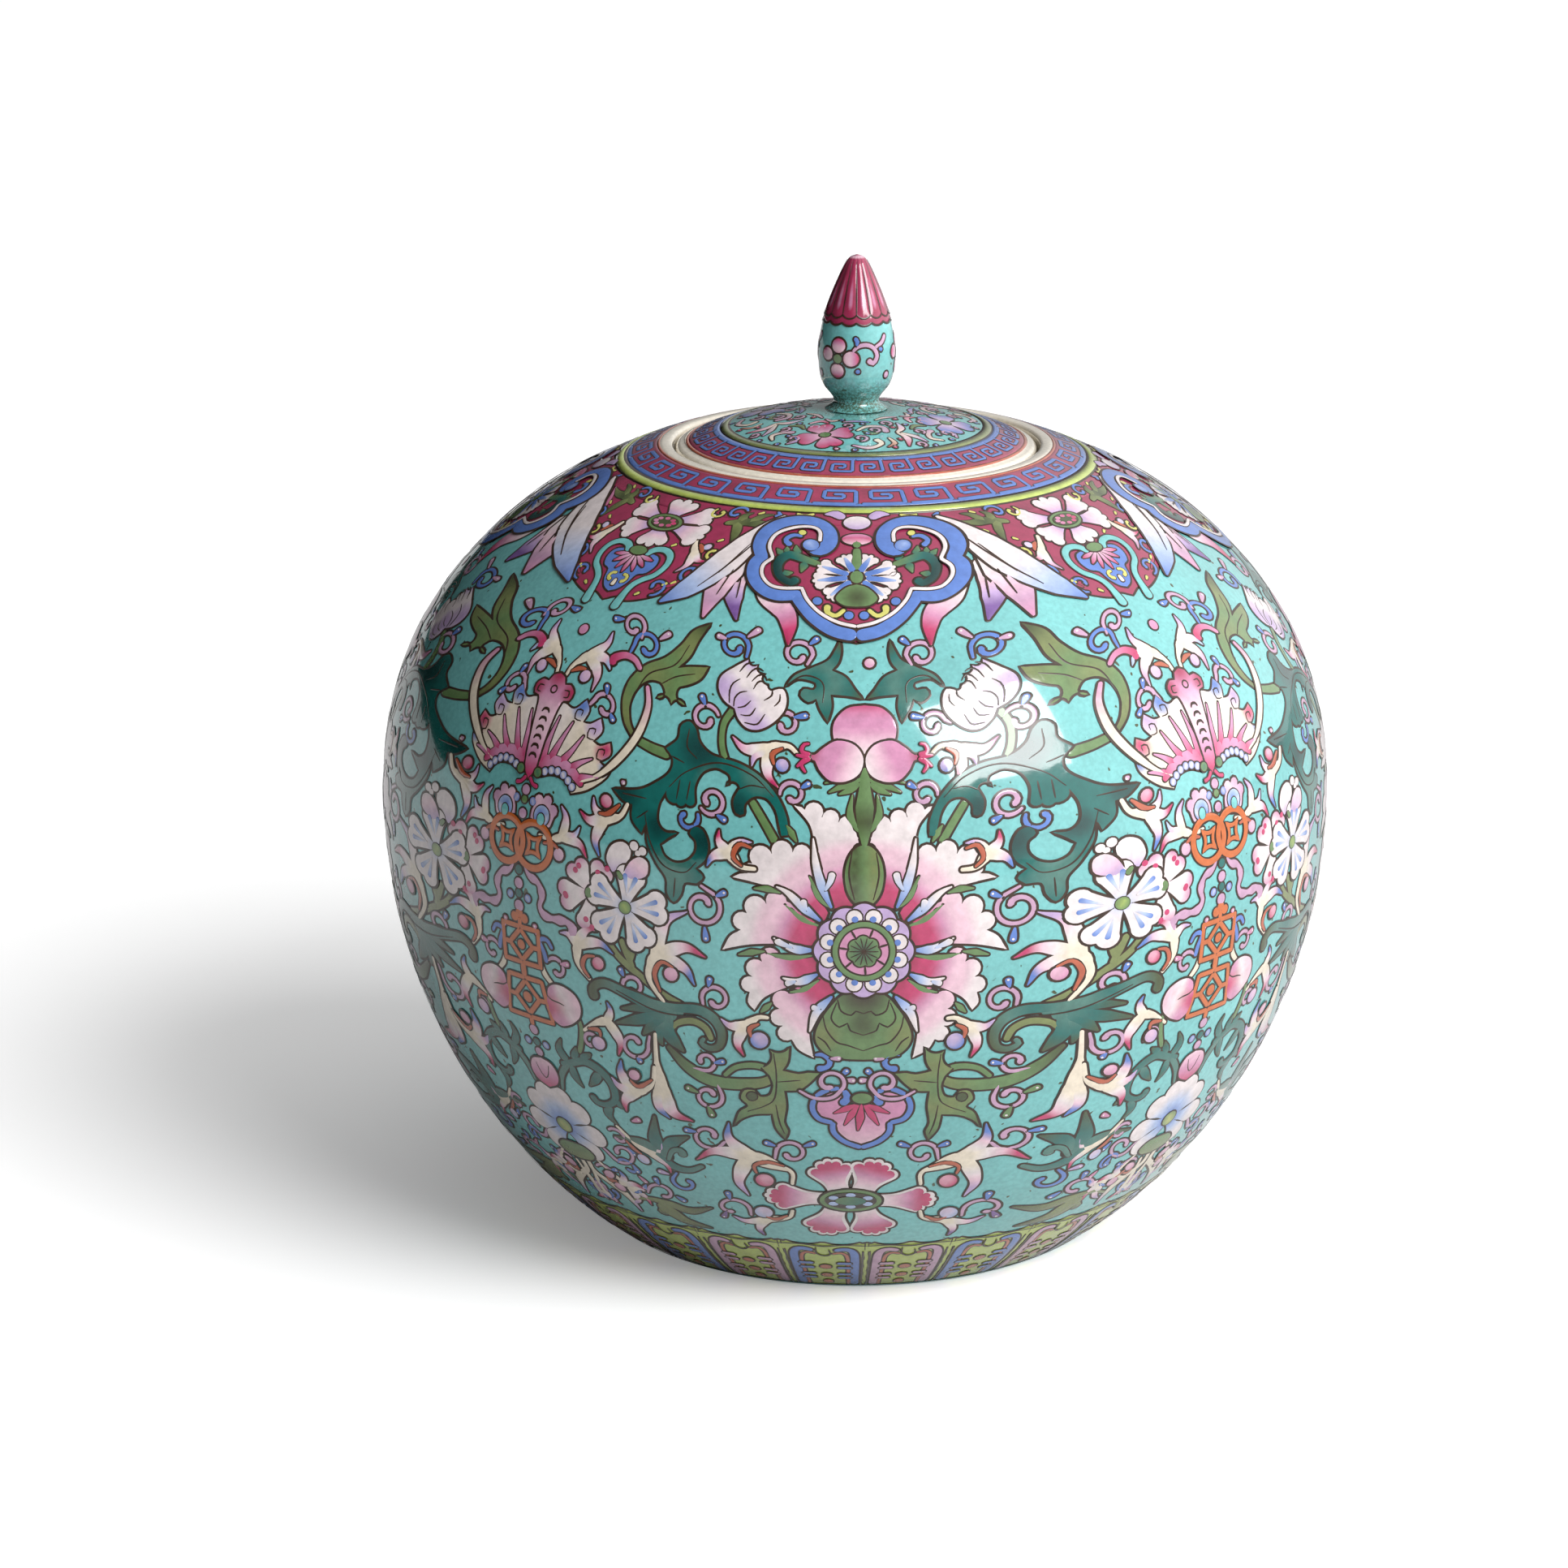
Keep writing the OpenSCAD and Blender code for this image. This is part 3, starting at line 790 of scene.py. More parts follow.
def sprigs():
    """The cream sprigs that fill the field."""
    d = Drawing()
    d.sprig([(-42.6, 101.6), (-46.6, 107.6), (-45, 112.8)],
            [(-37.2, 124.6, "lavender"), (-33, 114.4, "rose"), (-35.6, 107.4, "blue")],
            (-41.2, 109.4, 1.7, "pink"), [(-40.6, 111), (-43.4, 112), (-45.2, 109), (-43.8, 104.6)], 2, 3.2)
    d.sprig([(-61.8, 104.4), (-65.2, 108), (-65.2, 112.2)],
            [(-70, 114.4, "lavender"), (-59.6, 117.2, "rose"), (-55.6, 112, "blue")],
            (-59.6, 109, 1.6, "rose"), [(-60.4, 110.6), (-63, 110), (-63.8, 107.4), (-62, 105)], 2)
    d.sprig([(-18.6, 101), (-21, 101), (-23.8, 98.8)], [(-29.6, 99.9, "lavender"), (-24.4, 90.8, "rose")],
            (-20.8, 95.2, 2.1, "blue"), [(-22.6, 95.8), (-23, 98), (-20.8, 99.4)], 4)
    d.sprig([(-64.4, 90.6), (-61, 93.4), (-58, 94.6)], [(-57.6, 99.6, "blue"), (-55, 86, "rose")],
            (-60.2, 88.2, 1.8, "lavender"), [(-59.6, 90), (-60, 91.8), (-63, 91.6)], 1)
    d.sprig([(-51.6, 147), (-53.6, 143.8), (-57.4, 142.6)],
            [(-64.2, 143.4, "rose"), (-59, 134.2, "blue"), (-60.6, 147, "lavender")],
            (-57.2, 146.6, 1.5, "rose"), [(-59.2, 143.7), (-56.6, 144), (-53.6, 146.4)], 2)
    d.sprig([(-21.4, 135.6), (-25, 136), (-27.4, 138.6)],
            [(-29.8, 143.6, "rose"), (-32.6, 135.4, "blue"), (-22.4, 141.4, "lavender")],
            None, [(-22.4, 140.2), (-25.2, 140.8), (-26.6, 138), (-24.6, 136)], 4)
    d.sprig([(-45.4, 94), (-45.2, 86), (-44.4, 79)], [(-36.7, 70.4, "rose"), (-42.4, 70.2, "blue")],
            level=3, width=4.2)
    d.sprig([(-45.8, 85), (-46.6, 79.6), (-50.4, 77)],
            [(-53.6, 69.8, "rose"), (-57.2, 79.4, "lavender"), (-54.4, 84.8, "blue")],
            (-51, 81.4, 1.5, "pink"), [(-52.2, 79.8), (-50, 78.2), (-46.4, 81)], 4, 3.4)
    d.sprig([(-13.6, 52.6), (-14.2, 57.6), (-22.6, 61)],
            [(-28.2, 71.4, "blue"), (-36.2, 58, "rose"), (-23.8, 47.2, "lavender")],
            (-20, 53.6, 2.2, "rose"), [(-21.8, 55.8), (-22.4, 58.4), (-19.4, 60), (-15.4, 59)], 2, 3.8)
    d.sprig([(-13.6, 43), (-14.6, 39.6), (-19.6, 38)], [(-27.8, 38, "lavender"), (-20.4, 30.8, "violet")],
            (-20.4, 41.2, 2.2, "pale_blue"), [(-20, 39.6), (-17.6, 38.6), (-14.8, 40.6)], 2)
    d.stroke([(-67.2, 48.8), (-65.4, 44), (-61, 41), (-57, 38.2), (-54.2, 34.4), (-52.4, 31)],
             (1.2, 1.3, 1.6, 2.2, 1.4, 0.4), fade((-60, 40), (-53, 32), "cream", "cream", "lavender"), 1)
    d.sprig([(-60.4, 40.6), (-58.6, 40.8), (-57.6, 41.4)], [(-57.4, 47.4, "blue"), (-50.6, 42.2, "rose")],
            (-60.6, 44.8, 1.6, "pink"), [(-61.6, 43.6), (-60.4, 42), (-58.6, 43)], 2, 2.2)
    d.stroke([(-34.6, 56), (-38.4, 53.6), (-43, 54.6), (-49, 60), (-57.6, 60.4)], (1.1, 2.0, 2.8, 2.6, 0.3),
             fade((-35, 55), (-57, 60), "grey_teal", "teal", "grey_teal", "moss"), 1)
    for path in ([(-43, 56), (-46.4, 62), (-46.4, 70.2)], [(-44, 58), (-42.4, 62.2), (-38, 65.2)]):
        d.stroke(path, (3, 3.4, 0.4), ("grey_teal", "teal", "moss"), 1)
    d.stroke([(-43.4, 56), (-42.2, 59.6), (-40, 60.2), (-39.4, 58.2)], (0.9, 1.2, 1.6, 2.4), "grey_teal",
             3, line=0.3)
    for path, widths in (([(-54.4, 36), (-50, 38.4), (-44, 38.2), (-38.6, 37), (-33, 40)],
                          (0.8, 1.6, 2.6, 2.6, 0.4)),
                         ([(-47, 37.6), (-43, 34), (-39.6, 31.6), (-33.4, 30.4)], (3.4, 3.8, 2.2, 0.4)),
                         ([(-45, 36), (-46.4, 33.8), (-44.8, 32.8)], (2.4, 2.2, 1.6))):
        d.stroke(path, widths, ("olive", "olive", "moss"), 1)
    return d


def tendrils():
    """The curled tendrils and drop buds scattered over the field."""
    d = Drawing()
    for root, centre, turns, ink, *tail in (
        ((-23.8, 184.6), (-26.8, 185.7), 1.15, "blue", (-24.2, 182.8)),
        ((-9.2, 184.4), (-12.4, 184.6), 1.05, "mauve", (-10.6, 181.8)),
        ((-30.2, 168.6), (-33.2, 168), 1.05, "mauve"),
        ((-17.8, 168.8), (-15.2, 168), -1.05, "mauve", (-19.4, 168)),
        ((-16.3, 152), (-13.6, 152.4), -1.0, "mauve"),
        ((-34.2, 148.2), (-31.6, 149.6), 1.15, "mauve"),
        ((-34.8, 146.8), (-37.1, 145.6), -0.8, "blue"),
        ((-49.2, 187.2), (-52, 187.4), 1.0, "mauve", (-50, 184.4)),
        ((-51.6, 183), (-48.4, 183), -1.0, "blue", (-52.8, 180.4)),
        ((-61.4, 168.4), (-58.7, 167.4), -0.95, "mauve", (-63.4, 166.4)),
        ((-31, 129.2), (-33.4, 126), -1.2, "mauve", (-34.2, 131)),
        ((-34, 104.8), (-30.9, 104.6), -1.0, "mauve", (-33.6, 102.2)),
        ((-53.4, 104.8), (-50.8, 104.8), -0.95, "mauve", (-52.8, 103)),
        ((-47.2, 90.4), (-50.6, 89.6), -1.05, "mauve", (-46.8, 93)),
        ((-29.6, 79.4), (-32.6, 78.4), -1.1, "mauve", (-30.6, 82.2)),
        ((-34, 85.6), (-33.4, 88), 0.95, "mauve", (-36.4, 86)),
        ((-29.4, 65), (-33, 66), -1.05, "mauve", (-27, 66)),
        ((-17.3, 63.4), (-13.9, 63.6), -1.05, "mauve", (-17.6, 61)),
        ((-59, 52.6), (-56, 54.4), 1.05, "mauve", (-61.8, 55.4)),
        ((-49.4, 43.2), (-46, 42.4), -0.75, "mauve", (-49.8, 41)),
        ((-42.6, 49.6), (-39.6, 48.8), 0.75, "blue", (-41.4, 52)),
        ((-23.6, 41.4), (-27.6, 41.2), 0.8, "mauve", (-23.4, 39)),
        ((-65, 38.4), (-61.6, 36.4), 0.8, "blue", (-66, 40.4)),
        ((-2, 83.6), (-4.8, 84.8), 0.95, "mauve", (-12, 82.4), (-8.4, 80.4), (-4.4, 80.8)),
    ):
        d.curl(root, centre, turns, ink, tail, 5 if tail and len(tail) > 1 else 1)
    d.stroke([(-8.4, 92), (-6.6, 92.2), (-5, 90.6), (-5.8, 88.8), (-8, 88.4)], (0.6, 1.2, 1.2, 1.2, 1.9),
             "blue", 1)
    for x, s, dx, ds, ink in (
        (-24, 188, 3, 2.4, "mauve"), (-28.8, 187.2, -2.4, 0.6, "mauve"), (-10, 187, 2, 1.8, "blue"),
        (-33.4, 170.8, -1, 2.4, "blue"), (-13.4, 169.4, 3.2, 0.6, "blue"), (-11.6, 153.8, 2, 1.2, "blue"),
        (-30.4, 146.8, 2.2, -1.2, "blue"), (-55, 188.6, -3, -0.4, "blue"), (-45.2, 185, 2.8, 2, "mauve"),
        (-58.2, 170, 0, 2.4, "blue"), (-57, 166, 1, -1.8, "blue"), (-30.6, 128.8, 2.4, 1.2, "blue"),
        (-33.2, 121.6, 0.4, -3.4, "blue"), (-32.4, 107.4, 0.4, 2.4, "blue"), (-53, 107, -1, 2, "blue"),
        (-50.2, 86.4, 1.2, -1.2, "blue"), (-35.2, 79.2, -3, 1.2, "green"), (-33, 75.6, 1.2, -3, "green"),
        (-31.4, 88, 2.6, 0.8, "blue"), (-36, 67.2, -3, 0.2, "blue"), (-17.4, 65.4, -2.6, 1, "blue"),
        (-11, 65.8, 2.6, 1.2, "blue"), (-53.2, 51.4, 1.6, -2.8, "blue"), (-46.4, 45.8, -1, 2.6, "blue"),
        (-42, 42.4, 2.4, -1.6, "blue"), (-43.4, 50.8, -3, 0.6, "lavender"), (-28.4, 44.8, -0.6, 3, "blue"),
        (-29.4, 39.6, -0.8, -3, "violet"), (-2.6, 86.6, 1.6, 1.8, "blue"), (-1.8, 85.6, 2.4, -0.2, "mauve"),
        (-5, 91.2, 2.4, 0.2, "mauve"), (-64.4, 36, -1.4, 3.4, "mauve"), (-60.6, 34, 0.6, -2.2, "mauve"),
        (-53.4, 151.6, 0.8, -0.6, "mauve"), (-53.6, 39.6, 2, 1.4, "blue"),
    ):
        d.bud(x, s, dx, ds, ink, 2)
    return d


def palmette():
    """The pink palmette under the lotus calyx."""
    mid = 2.0
    d = Drawing(axis=mid)
    half = trace(
        [(-1.6, 78.8), (-1.6, 82.2), (-4.4, 83.2), (-7.8, 81.2), (-9, 77.8), (-7.6, 74.6), (-4.4, 73.4)],
        [(-4.2, 70.6), (-1.8, 67.8), (mid, 65.8)],
    )
    d.axis = None
    d.shape(join(half, mirrored(half, mid)), fade((mid, 82), (mid, 67), "pink", "pink", "blush"), 2, line=0)
    d.axis = mid
    d.stroke(smooth((-2.6, 78.8), (-1.2, 80.4), (-1.8, 82.4), (-4.4, 83.2), (-7.8, 81.2), (-9, 77.8),
                    (-7.6, 74.6), (-4.4, 73.4)), (2.0, 1.2, 1.2, 1.2, 1.2), "blue", 4)
    d.stroke(smooth((-4.4, 73.6), (-4.2, 70.6), (-1.8, 67.8), (mid, 65.9)), (1.2, 1.2), "blue", 4)
    for tip in ((-4.2, 76.2), (-1.8, 72.8)):
        d.stroke([(mid - 0.4, 79), ((mid + tip[0]) / 2 - 0.3, (79 + tip[1]) / 2), tip], (0.4, 1.7, 0.3),
                 "rose", 4, 0.3)
    d.axis = None
    d.stroke([(mid, 79), (mid - 0.3, 75), (mid - 0.8, 71.2)], (0.4, 1.9, 0.3), "rose", 5, 0.3)
    d.dot(mid + 0.1, 80.6, 2.3, "green", 6, ry=1.5)
    return d


def foot_flower():
    """The six-petalled pink flower above the lappets."""
    heart = (-0.3, 47.6)
    d = Drawing()
    for base, tip, width in (
        ((-2.6, 49.5), (-6, 62.6), 10.6), ((1.8, 49.5), (6.6, 62.4), 11.2), ((4.5, 47.6), (20.3, 47), 9.2),
        ((-5, 48), (-21, 48), 9.4), ((-3.2, 46), (-7.2, 32.2), 10.8), ((2.4, 46), (6, 32.2), 10.4),
    ):
        d.petal(base, tip, width, 5, "white", 1, neck=0.24)
        near, far = between(base, tip, 0.15), between(base, tip, 0.9)
        d.petal(between(base, tip, 0.12), far, width * 0.8, 5,
                fade(near, far, "white", "blush", "pink", "rose", "rose"), 3, line=0, neck=0.3, depth=0.5)
    d.dot(*heart, 7.2, "green", 5, ry=4.2)
    d.dot(*heart, 5.9, "line", 7, ry=3.1, line=0)
    for i in range(6):
        a = math.pi * (i + 0.5) / 3
        d.dot(heart[0] + 4.5 * math.cos(a), heart[1] + 2.2 * math.sin(a), 1.15, "pale_blue", 8, ry=0.75,
              line=0)
    d.dot(*heart, 3.5, fade((-4, 50), (3, 45), "green", "teal"), 9, ry=1.6, line=0.15)
    return d


def frond():
    """The long leaves that sweep down beside the ruyi heads."""
    d = Drawing()
    for path, widths, inks, level in (
        ([(-24.4, 210), (-26.8, 204.4), (-27.6, 198.4), (-26.8, 192.2)], (3, 4.6, 4.2, 0.4),
         ("white", "white", "blush", "lavender", "violet", "violet"), 3),
        ([(-24.6, 213), (-28.6, 206), (-32, 199.6), (-34.8, 192)], (3, 6.2, 5, 0.4),
         ("white", "white", "blush", "mauve", "pink"), 5),
        ([(-22, 204), (-19.8, 199), (-16, 195.8), (-14.7, 192), (-14.8, 186.6)], (2, 4, 5, 3.4, 0.4),
         ("white", "white", "blush", "pink", "rose", "ruby"), 3),
        ([(-16, 225), (-19.5, 221.5), (-24, 215.6), (-28.6, 209.6), (-33.8, 204), (-39.4, 199),
          (-46, 194.4)], (0.5, 3, 5.4, 6.4, 5.6, 4, 0.4),
         ("white", "white", "white", "pale_blue", "blue"), 7),
    ):
        d.stroke(path, widths, inks, level)
    for path in ([(-20, 219), (-25.4, 211.8), (-31.4, 204.6)], [(-24, 214.4), (-30, 206.4), (-36.4, 200)],
                 [(-27.8, 206), (-31.6, 198.4)], [(-25.8, 204), (-26.8, 198)]):
        d.pen(*path, width=0.35, level=10)
    return d


def ruyi():
    """A large ruyi head with a blue edge and a small lotus inside."""
    mid = 0.3
    d = Drawing()
    edge = trace(
        [(-19.4, 224), (-21.8, 219), (-23.2, 214.6), (-22.6, 210.6)],
        [(-24.2, 207.8), (-24.3, 204), (-22, 200), (-17.8, 198), (-13.6, 198.4)],
        [(-12.4, 196.4), (-9.4, 192.4), (-5.2, 189.4), (mid, 187.7)],
    )
    d.shape(both_halves(np.vstack([[(mid, 224)], edge]), mid), "crimson", 0)
    d.axis = mid
    rim = np.vstack([
        smooth((-10.3, 215), (-8, 213.8), (-5.9, 216), (-6, 220), (-8.6, 223), (-12.6, 223.6), (-17, 222),
               (-20.4, 218.6), (-21.9, 214.2), (-21.2, 210.4)),
        smooth((-21.2, 210.4), (-22.8, 208), (-23, 204.4), (-21, 201.2), (-17.6, 199.6), (-13.1, 200)),
        smooth((-13.1, 200), (-11.8, 197.6), (-9, 193.8), (-4.8, 190.6), (mid, 189.2)),
    ])
    inner = np.vstack([
        smooth((-8, 216.4), (-8, 219.8), (-9.8, 221.3), (-13.6, 220.9), (-17.8, 218.4), (-19.5, 214.4),
               (-18.6, 210.4)),
        smooth((-18.6, 210.4), (-20.8, 208), (-21, 205), (-19.2, 202.4), (-16.4, 201.6), (-11.9, 201.9)),
        smooth((-11.9, 201.9), (-10.6, 198.6), (-7.8, 195.2), (-4, 192.8), (mid, 191.6)),
    ])
    d.stroke(rim, (3.8, 3.0, 3.0, 3.0, 3.0, 3.0), "blue", 10, line=0.6)
    d.stroke(inner, (0.8, 0.8), "white", 12, line=0.25)
    d.dot(-10, 215.2, 1.9, glow((-10, 215.4), 0, 2, "pale_blue", "blue"), 11, line=0.4)
    scroll = [(-7.6, 209.2), (-11.4, 210.8), (-15, 212), (-17.4, 209.2), (-17, 205.4), (-14.4, 203.6),
              (-13, 205)]
    d.stroke(scroll, (1.4, 2, 2.4, 2.2, 2, 1.8, 2.2),
             fade((-8, 209), (-16, 205), "green", "teal", "dark_teal"), 4)
    for path in ([(-13, 211.8), (-13.4, 215.2)], [(-16, 211.4), (-17.8, 213.8)],
                 [(-11, 210.4), (-12.2, 206.8)], [(-9, 210.4), (-9.6, 213.6)],
                 [(-16.6, 206), (-14, 206.6)], [(-15.4, 211.8), (-15.4, 214.6)]):
        d.stroke(path, (2, 1.8, 0.3), ("teal", "green"), 3, line=0.35)
    d.stroke([(-12, 218.2), (-14, 218.6), (-15.8, 216.8), (-14.6, 215)], (0.8, 1.1, 1.1, 1.8), "blue", 4)
    d.stroke([(-6, 197.6), (-6.2, 195.6), (-4.2, 194.7), (-2.3, 196.4)], (1.6, 1.1, 0.9), "gold", 4)
    d.dot(-12, 219.6, 0.9, "gold", 4, line=0.3)
    for x, s in ((-1.4, 194.8), (-8.4, 198.6)):
        d.dot(x, s, 1.1, "blue", 4, line=0.3)
    d.axis = None
    heart = (mid, 205.6)
    for tip in ((-2.9, 212.6), (3.8, 212.6), (9.3, 208.9), (10.7, 204.2), (7.3, 199.2), (-6.5, 199.2),
                (-10, 204.2), (-8.8, 209.2)):
        start = between(heart, tip, 0.2)
        d.stroke([start, between(heart, tip, 0.75) + (1.4, 0)], (0.5, 0.9, 0.3), "green", 4, line=0.25)
        d.petal(start, tip, 3.3, 3, "white", 5, line=0.4, neck=0.3, depth=0.6)
        d.stroke([start, between(heart, tip, 0.85)], (1.4, 1.5, 0.5), ("blue", "blue", "pale_blue"), 7,
                 line=0)
    d.stroke([(mid, 207), (mid, 214.6)], (2.4, 1.6), "green", 6, line=0.35)
    d.dot(*heart, 1.5, "green", 8, ry=1.9, line=0.4)
    d.shape(both_halves(smooth((mid, 203.4), (-2.2, 202.4), (-4.4, 199.4), (-2.6, 197.4), (mid, 197)), mid),
            spots("green", (mid, 199.6, 3.4, "moss")), 9, line=0.4)
    d.shape(ring(mid, 217.6, 3.4, 1.9), fade((mid, 219), (mid, 216), "pink", "rose", "blush"), 6, line=0.4)
    d.stroke([(mid, 214.8), (mid, 216.8)], (1.2, 2.4), "green", 7, line=0.3)
    d.shape(ring(mid, 223.4, 3.1, 2.4), fade((mid, 225), (mid, 221), "white", "lavender"), 6, line=0.4)
    d.axis = mid
    d.stroke([(-2.6, 225), (-4.6, 226.6), (-7, 226.4)], (2.0, 2.6, 0.4), "lavender", 5, line=0.35)
    d.stroke([(-13.4, 226.2), (-11.4, 225.4), (-9.4, 226.4)], (0.6, 1.3, 0.6), "gold", 5, line=0.3)
    d.stroke([(-17.8, 226.4), (-17.2, 225.2), (-18.6, 224.6)], (0.6, 1.2, 0.6), "blue", 5, line=0.3)
    return d


def lappet():
    """A crimson flower lappet of the collar, above a bat."""
    d = Drawing()
    edge = smooth((31, 226.5), (28.6, 223), (25.4, 219.4), (24.4, 213.4), (22.6, 206.2), (18.8, 200),
                  (13.4, 196.2), (9, 194.1), (5.4, 193.3), (3.4, 194.2), (0, 192.6))
    d.shape(both_halves(np.vstack([(0, 226.5), edge]), 0), "crimson", 0)
    d.axis = 0
    blade = smooth((27, 223), (24, 219), (22.6, 213), (20.8, 207), (17.2, 201.6), (12, 197.4))
    d.stroke(blade, (0.5, 1.6, 1.9, 1.9, 1.6, 0.4), fade((27, 223), (12, 197), "pink", "rose", "crimson"),
             2, 0.3)
    scroll = [(2.6, 206.6), (4.2, 208.6), (7, 209), (9.4, 207.4), (10.2, 204.4), (9.2, 201.4),
              (6.8, 199.4), (5.2, 197), (4.6, 192.2), (4.6, 190.4)]
    d.stroke(scroll, (1.9, 1.6, 1.5, 1.5, 1.5, 1.7, 2.6), "turquoise", 5, line=0.4)
    d.axis = None
    cloud = smooth((0, 207.4), (-3.4, 207.4), (-6.6, 206.6), (-7.6, 204.2), (-6.6, 201.6), (-4.4, 200.6),
                   (-3.6, 198), (-2, 195.8), (0, 194.8))
    d.shape(both_halves(cloud), "blue", 3, line=0.45)
    for tip, level in (((-5.8, 205.2), 5), ((-4.6, 203), 6), ((-2.6, 201.3), 5), ((0, 200.4), 6),
                       ((2.6, 201.3), 5), ((4.6, 203), 6), ((5.8, 205.2), 5)):
        root = (tip[0] * 0.15, 206.2)
        d.stroke([root, ((tip[0] + root[0]) / 2, (root[1] + tip[1]) / 2), tip], (0.4, 0.9, 1.2, 0.3),
                 ("blush", "pink", "rose"), level, 0.4)
    d.axis = 0
    d.stroke([(1, 200), (2.4, 199.8), (2.6, 198.4), (1.4, 197.8)], (0.8, 0.8, 1.1), "gold", 5, line=0.25)
    d.axis = None
    d.dot(0, 207.4, 2.5, "green", 8, ry=1.4, line=0.35)
    d.stroke([(0, 198.4), (0, 196.4)], (0.8, 1.3), "cream", 6, line=0.3)
    heart = (0, 217.4)
    for tip, width, level in (((-12.2, 221.4), 5, 3), ((0.4, 226), 7.4, 4), ((11.2, 222.8), 5, 3),
                              ((13.6, 214.6), 5.2, 4), ((1.2, 209.6), 7.6, 3), ((-10.8, 212.4), 5.2, 4)):
        start = between(heart, tip, 0.15)
        d.petal(start, tip, width, 3, fade(start, tip, "lavender", "lavender", "blush", "white", "white"),
                level, line=0.45, neck=0.16, depth=0.55)
    d.dot(*heart, 4.9, "green", 6, ry=2.8, line=0.4)
    d.dot(*heart, 3.8, "moss", 8, ry=1.9, line=0.2)
    for i in range(8):
        a = i * math.pi / 4
        d.dot(2.7 * math.cos(a), heart[1] + 1.25 * math.sin(a), 0.75,
              fade((-3, 217), (3, 217), "pink", "rose"), 9, ry=0.5, line=0)
    d.axis = 0
    d.stroke([(14.6, 220.6), (19, 221.8), (23, 221.6), (26.4, 222.6)], (1.2, 2.6, 2.2, 0.4),
             fade((15, 220), (26, 222), "olive", "moss", "olive"), 3, line=0.3)
    for path in ([(17.4, 221.4), (19.4, 217.8), (20.8, 213.8)], [(20, 221.8), (21.6, 224.4), (23.6, 225.2)],
                 [(18, 221.8), (17.4, 224), (18.6, 225.2)]):
        d.stroke(path, (2, 2, 0.3), ("olive", "moss"), 3, line=0.3)
    d.sprig([(11.6, 214.6), (12.6, 212.4), (14, 210.2)], [(13.4, 203.4, "mauve"), (18.8, 207.6, "rose")],
            (16.2, 212, 1.0, "pale_blue"), [(13.8, 212.6), (15.2, 211.4), (16, 210)], 3, 2.0)
    for root, centre, turns, ink in (
        ((17, 225.6), (15, 224.8), 0.9, "blue"), ((19.8, 202.6), (17.4, 203.6), -0.9, "blue"),
        ((11.4, 195.8), (11.6, 198.2), 0.9, "blue"), ((20.8, 211.6), (19, 210.4), -0.9, "gold"),
        ((9.6, 225.2), (10.8, 223.8), 0.9, "gold"), ((24, 213), (22.4, 214.6), 0.8, "blue"),
    ):
        d.curl(root, centre, turns, ink, level=3, width=0.7)
    for x, s in ((20.4, 225.4), (15, 200.2), (8, 195.6), (17.6, 214.6), (13.2, 199.4), (7.6, 211),
                 (22.4, 218.4)):
        d.stroke([(x - 0.5, s - 0.4), (x + 0.6, s + 0.5)], (0.5, 1.0), "gold", 3, line=0.25)
    return d


